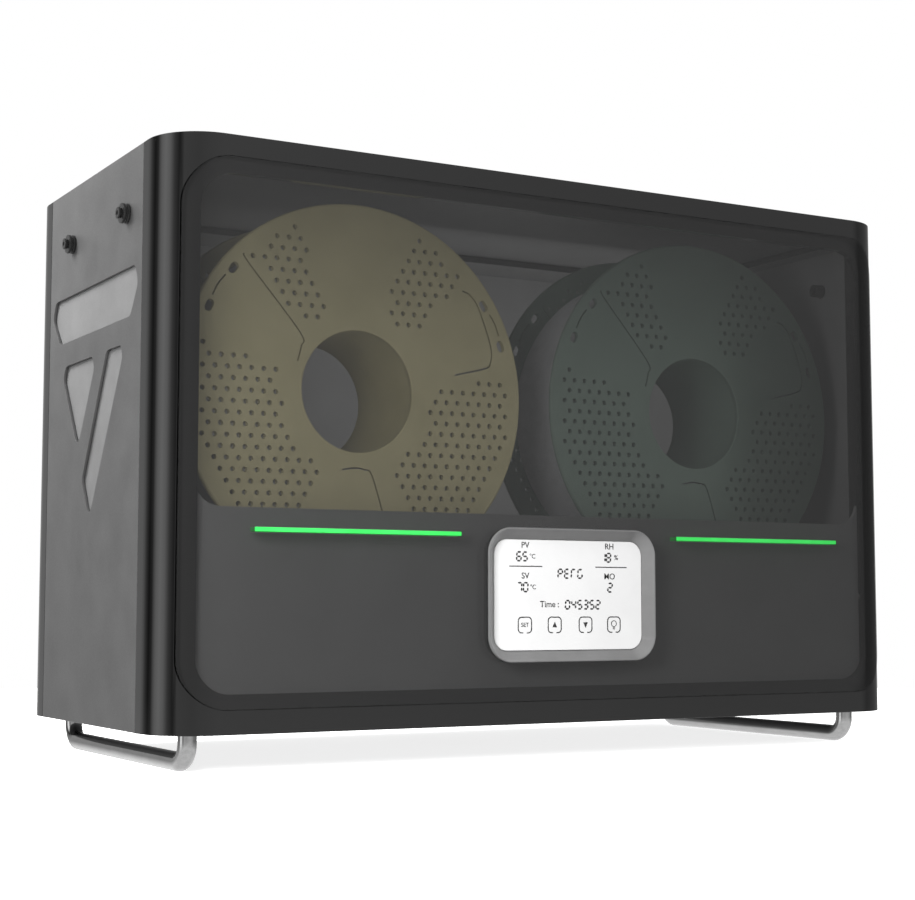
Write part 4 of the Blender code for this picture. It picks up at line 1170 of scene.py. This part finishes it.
def buildStudio():
    world = bpy.data.worlds.new("studio")
    bpy.context.scene.world = world
    world.use_nodes = True
    tree = world.node_tree
    tree.nodes.clear()
    coords = addNode(tree, "ShaderNodeTexCoord")
    axes = addNode(tree, "ShaderNodeSeparateXYZ", {0: coords.outputs["Generated"]})
    back = addNode(tree, "ShaderNodeMath", {0: axes.outputs["Y"], 1: -1.0}, operation="MULTIPLY")
    bearing = addNode(tree, "ShaderNodeMath", {0: axes.outputs["X"], 1: back.outputs[0]},
            operation="ARCTAN2")
    share = addNode(tree, "ShaderNodeMapRange", {"Value": bearing.outputs[0], "From Min": -math.pi,
            "From Max": math.pi})
    ramp = addNode(tree, "ShaderNodeValToRGB", {"Fac": share.outputs[0]})
    stops = ramp.color_ramp.elements
    while len(stops) > 1:
        stops.remove(stops[-1])
    for index, (degrees, brightness) in enumerate(studioBands):
        position = (degrees + 180) / 360
        stop = stops[0] if index == 0 else stops.new(position)
        stop.position = position
        level = brightness / studio["brightest"]
        stop.color = (level, level, level, 1.0)
    high = addNode(tree, "ShaderNodeMapRange", {"Value": axes.outputs["Z"],
            "From Min": studio["skyStart"], "From Max": studio["skyFull"]})
    above = 1.0 / studio["brightest"]
    mixed = addNode(tree, "ShaderNodeMix", {"Factor": high.outputs[0], "A": ramp.outputs["Color"],
            "B": (above, above, above, 1.0)}, data_type="RGBA")
    path = addNode(tree, "ShaderNodeLightPath")
    under = addNode(tree, "ShaderNodeMapRange", {"Value": path.outputs["Is Glossy Ray"],
            "To Min": studio["underside"] / studio["brightest"],
            "To Max": studio["floorGlow"] / studio["brightest"]})
    low = addNode(tree, "ShaderNodeMapRange", {"Value": axes.outputs["Z"],
            "From Min": studio["floorStart"], "From Max": studio["floorFull"]})
    shaded = addNode(tree, "ShaderNodeMix", {"Factor": low.outputs[0], "A": mixed.outputs["Result"],
            "B": under.outputs[0]}, data_type="RGBA")
    return tree, shaded


def finishStudio(tree, mixed):
    bands = addNode(tree, "ShaderNodeBackground", {"Color": mixed.outputs["Result"],
            "Strength": studio["brightest"]})
    plain = addNode(tree, "ShaderNodeBackground", {"Color": (1.0, 1.0, 1.0, 1.0), "Strength": 1.0})
    path = addNode(tree, "ShaderNodeLightPath")
    both = addNode(tree, "ShaderNodeMixShader", {0: path.outputs["Is Camera Ray"], 1: bands.outputs[0],
            2: plain.outputs[0]})
    addNode(tree, "ShaderNodeOutputWorld", {0: both.outputs[0]})

    bm = bmesh.new()
    bmesh.ops.create_circle(bm, cap_ends=True, segments=96, radius=studio["floorSize"])
    floor = pieceFrom(bm, "floor")
    # opal acrylic light table: matt white, lit from below so that shadows stay faint
    opal = makeMaterial("opalLightTable", "#f6f6f6", 0.9, ("#f4f4f4", "#f8f8f8"), (0.85, 0.95),
            (300, 3, 0.01), Emission_Strength=0.78, Emission_Color=linearColour("#ffffff"))
    floor.data.materials.append(opal)
    floor.visible_diffuse = False
    floor.visible_glossy = False

    for name, (place, target, width, height, power) in lights.items():
        light = bpy.data.lights.new(name, "AREA")
        light.shape = "RECTANGLE"
        light.size = width
        light.size_y = height
        light.energy = power
        lamp = bpy.data.objects.new(name, light)
        bpy.context.scene.collection.objects.link(lamp)
        lamp.location = place
        lamp.rotation_euler = (Vector(target) - Vector(place)).to_track_quat("-Z", "Y").to_euler()
        lamp.visible_camera = False
        lamp.visible_glossy = False


cameraSizes = {"place": (-0.5255, -0.9151, 0.0796), "turn": 29.54, "tilt": 5.04, "lens": 70.39}


def buildCamera():
    data = bpy.data.cameras.new("camera")
    data.lens = cameraSizes["lens"]
    data.sensor_width = 36.0
    data.clip_start = 0.01
    camera = bpy.data.objects.new("camera", data)
    bpy.context.scene.collection.objects.link(camera)
    camera.location = cameraSizes["place"]
    camera.rotation_euler = (math.radians(90 + cameraSizes["tilt"]), 0, math.radians(-cameraSizes["turn"]))
    bpy.context.scene.camera = camera
    bpy.context.scene.view_settings.view_transform = "Standard"


buildFrontShell()
buildRearShell()
buildSidePanels()
print("shells and side panels built")
buildWindow()
buildBezel()
buildScreen()
print("window and display built")
buildFeet()
buildOutlets()
print("feet and outlets built")
buildSpools()
buildRollers()
print("spools and rollers built")
refineNodes()
addFasteners()
print("inner pieces refined")
finishStudio(*buildStudio())
buildCamera()

bpy.context.view_layer.update()
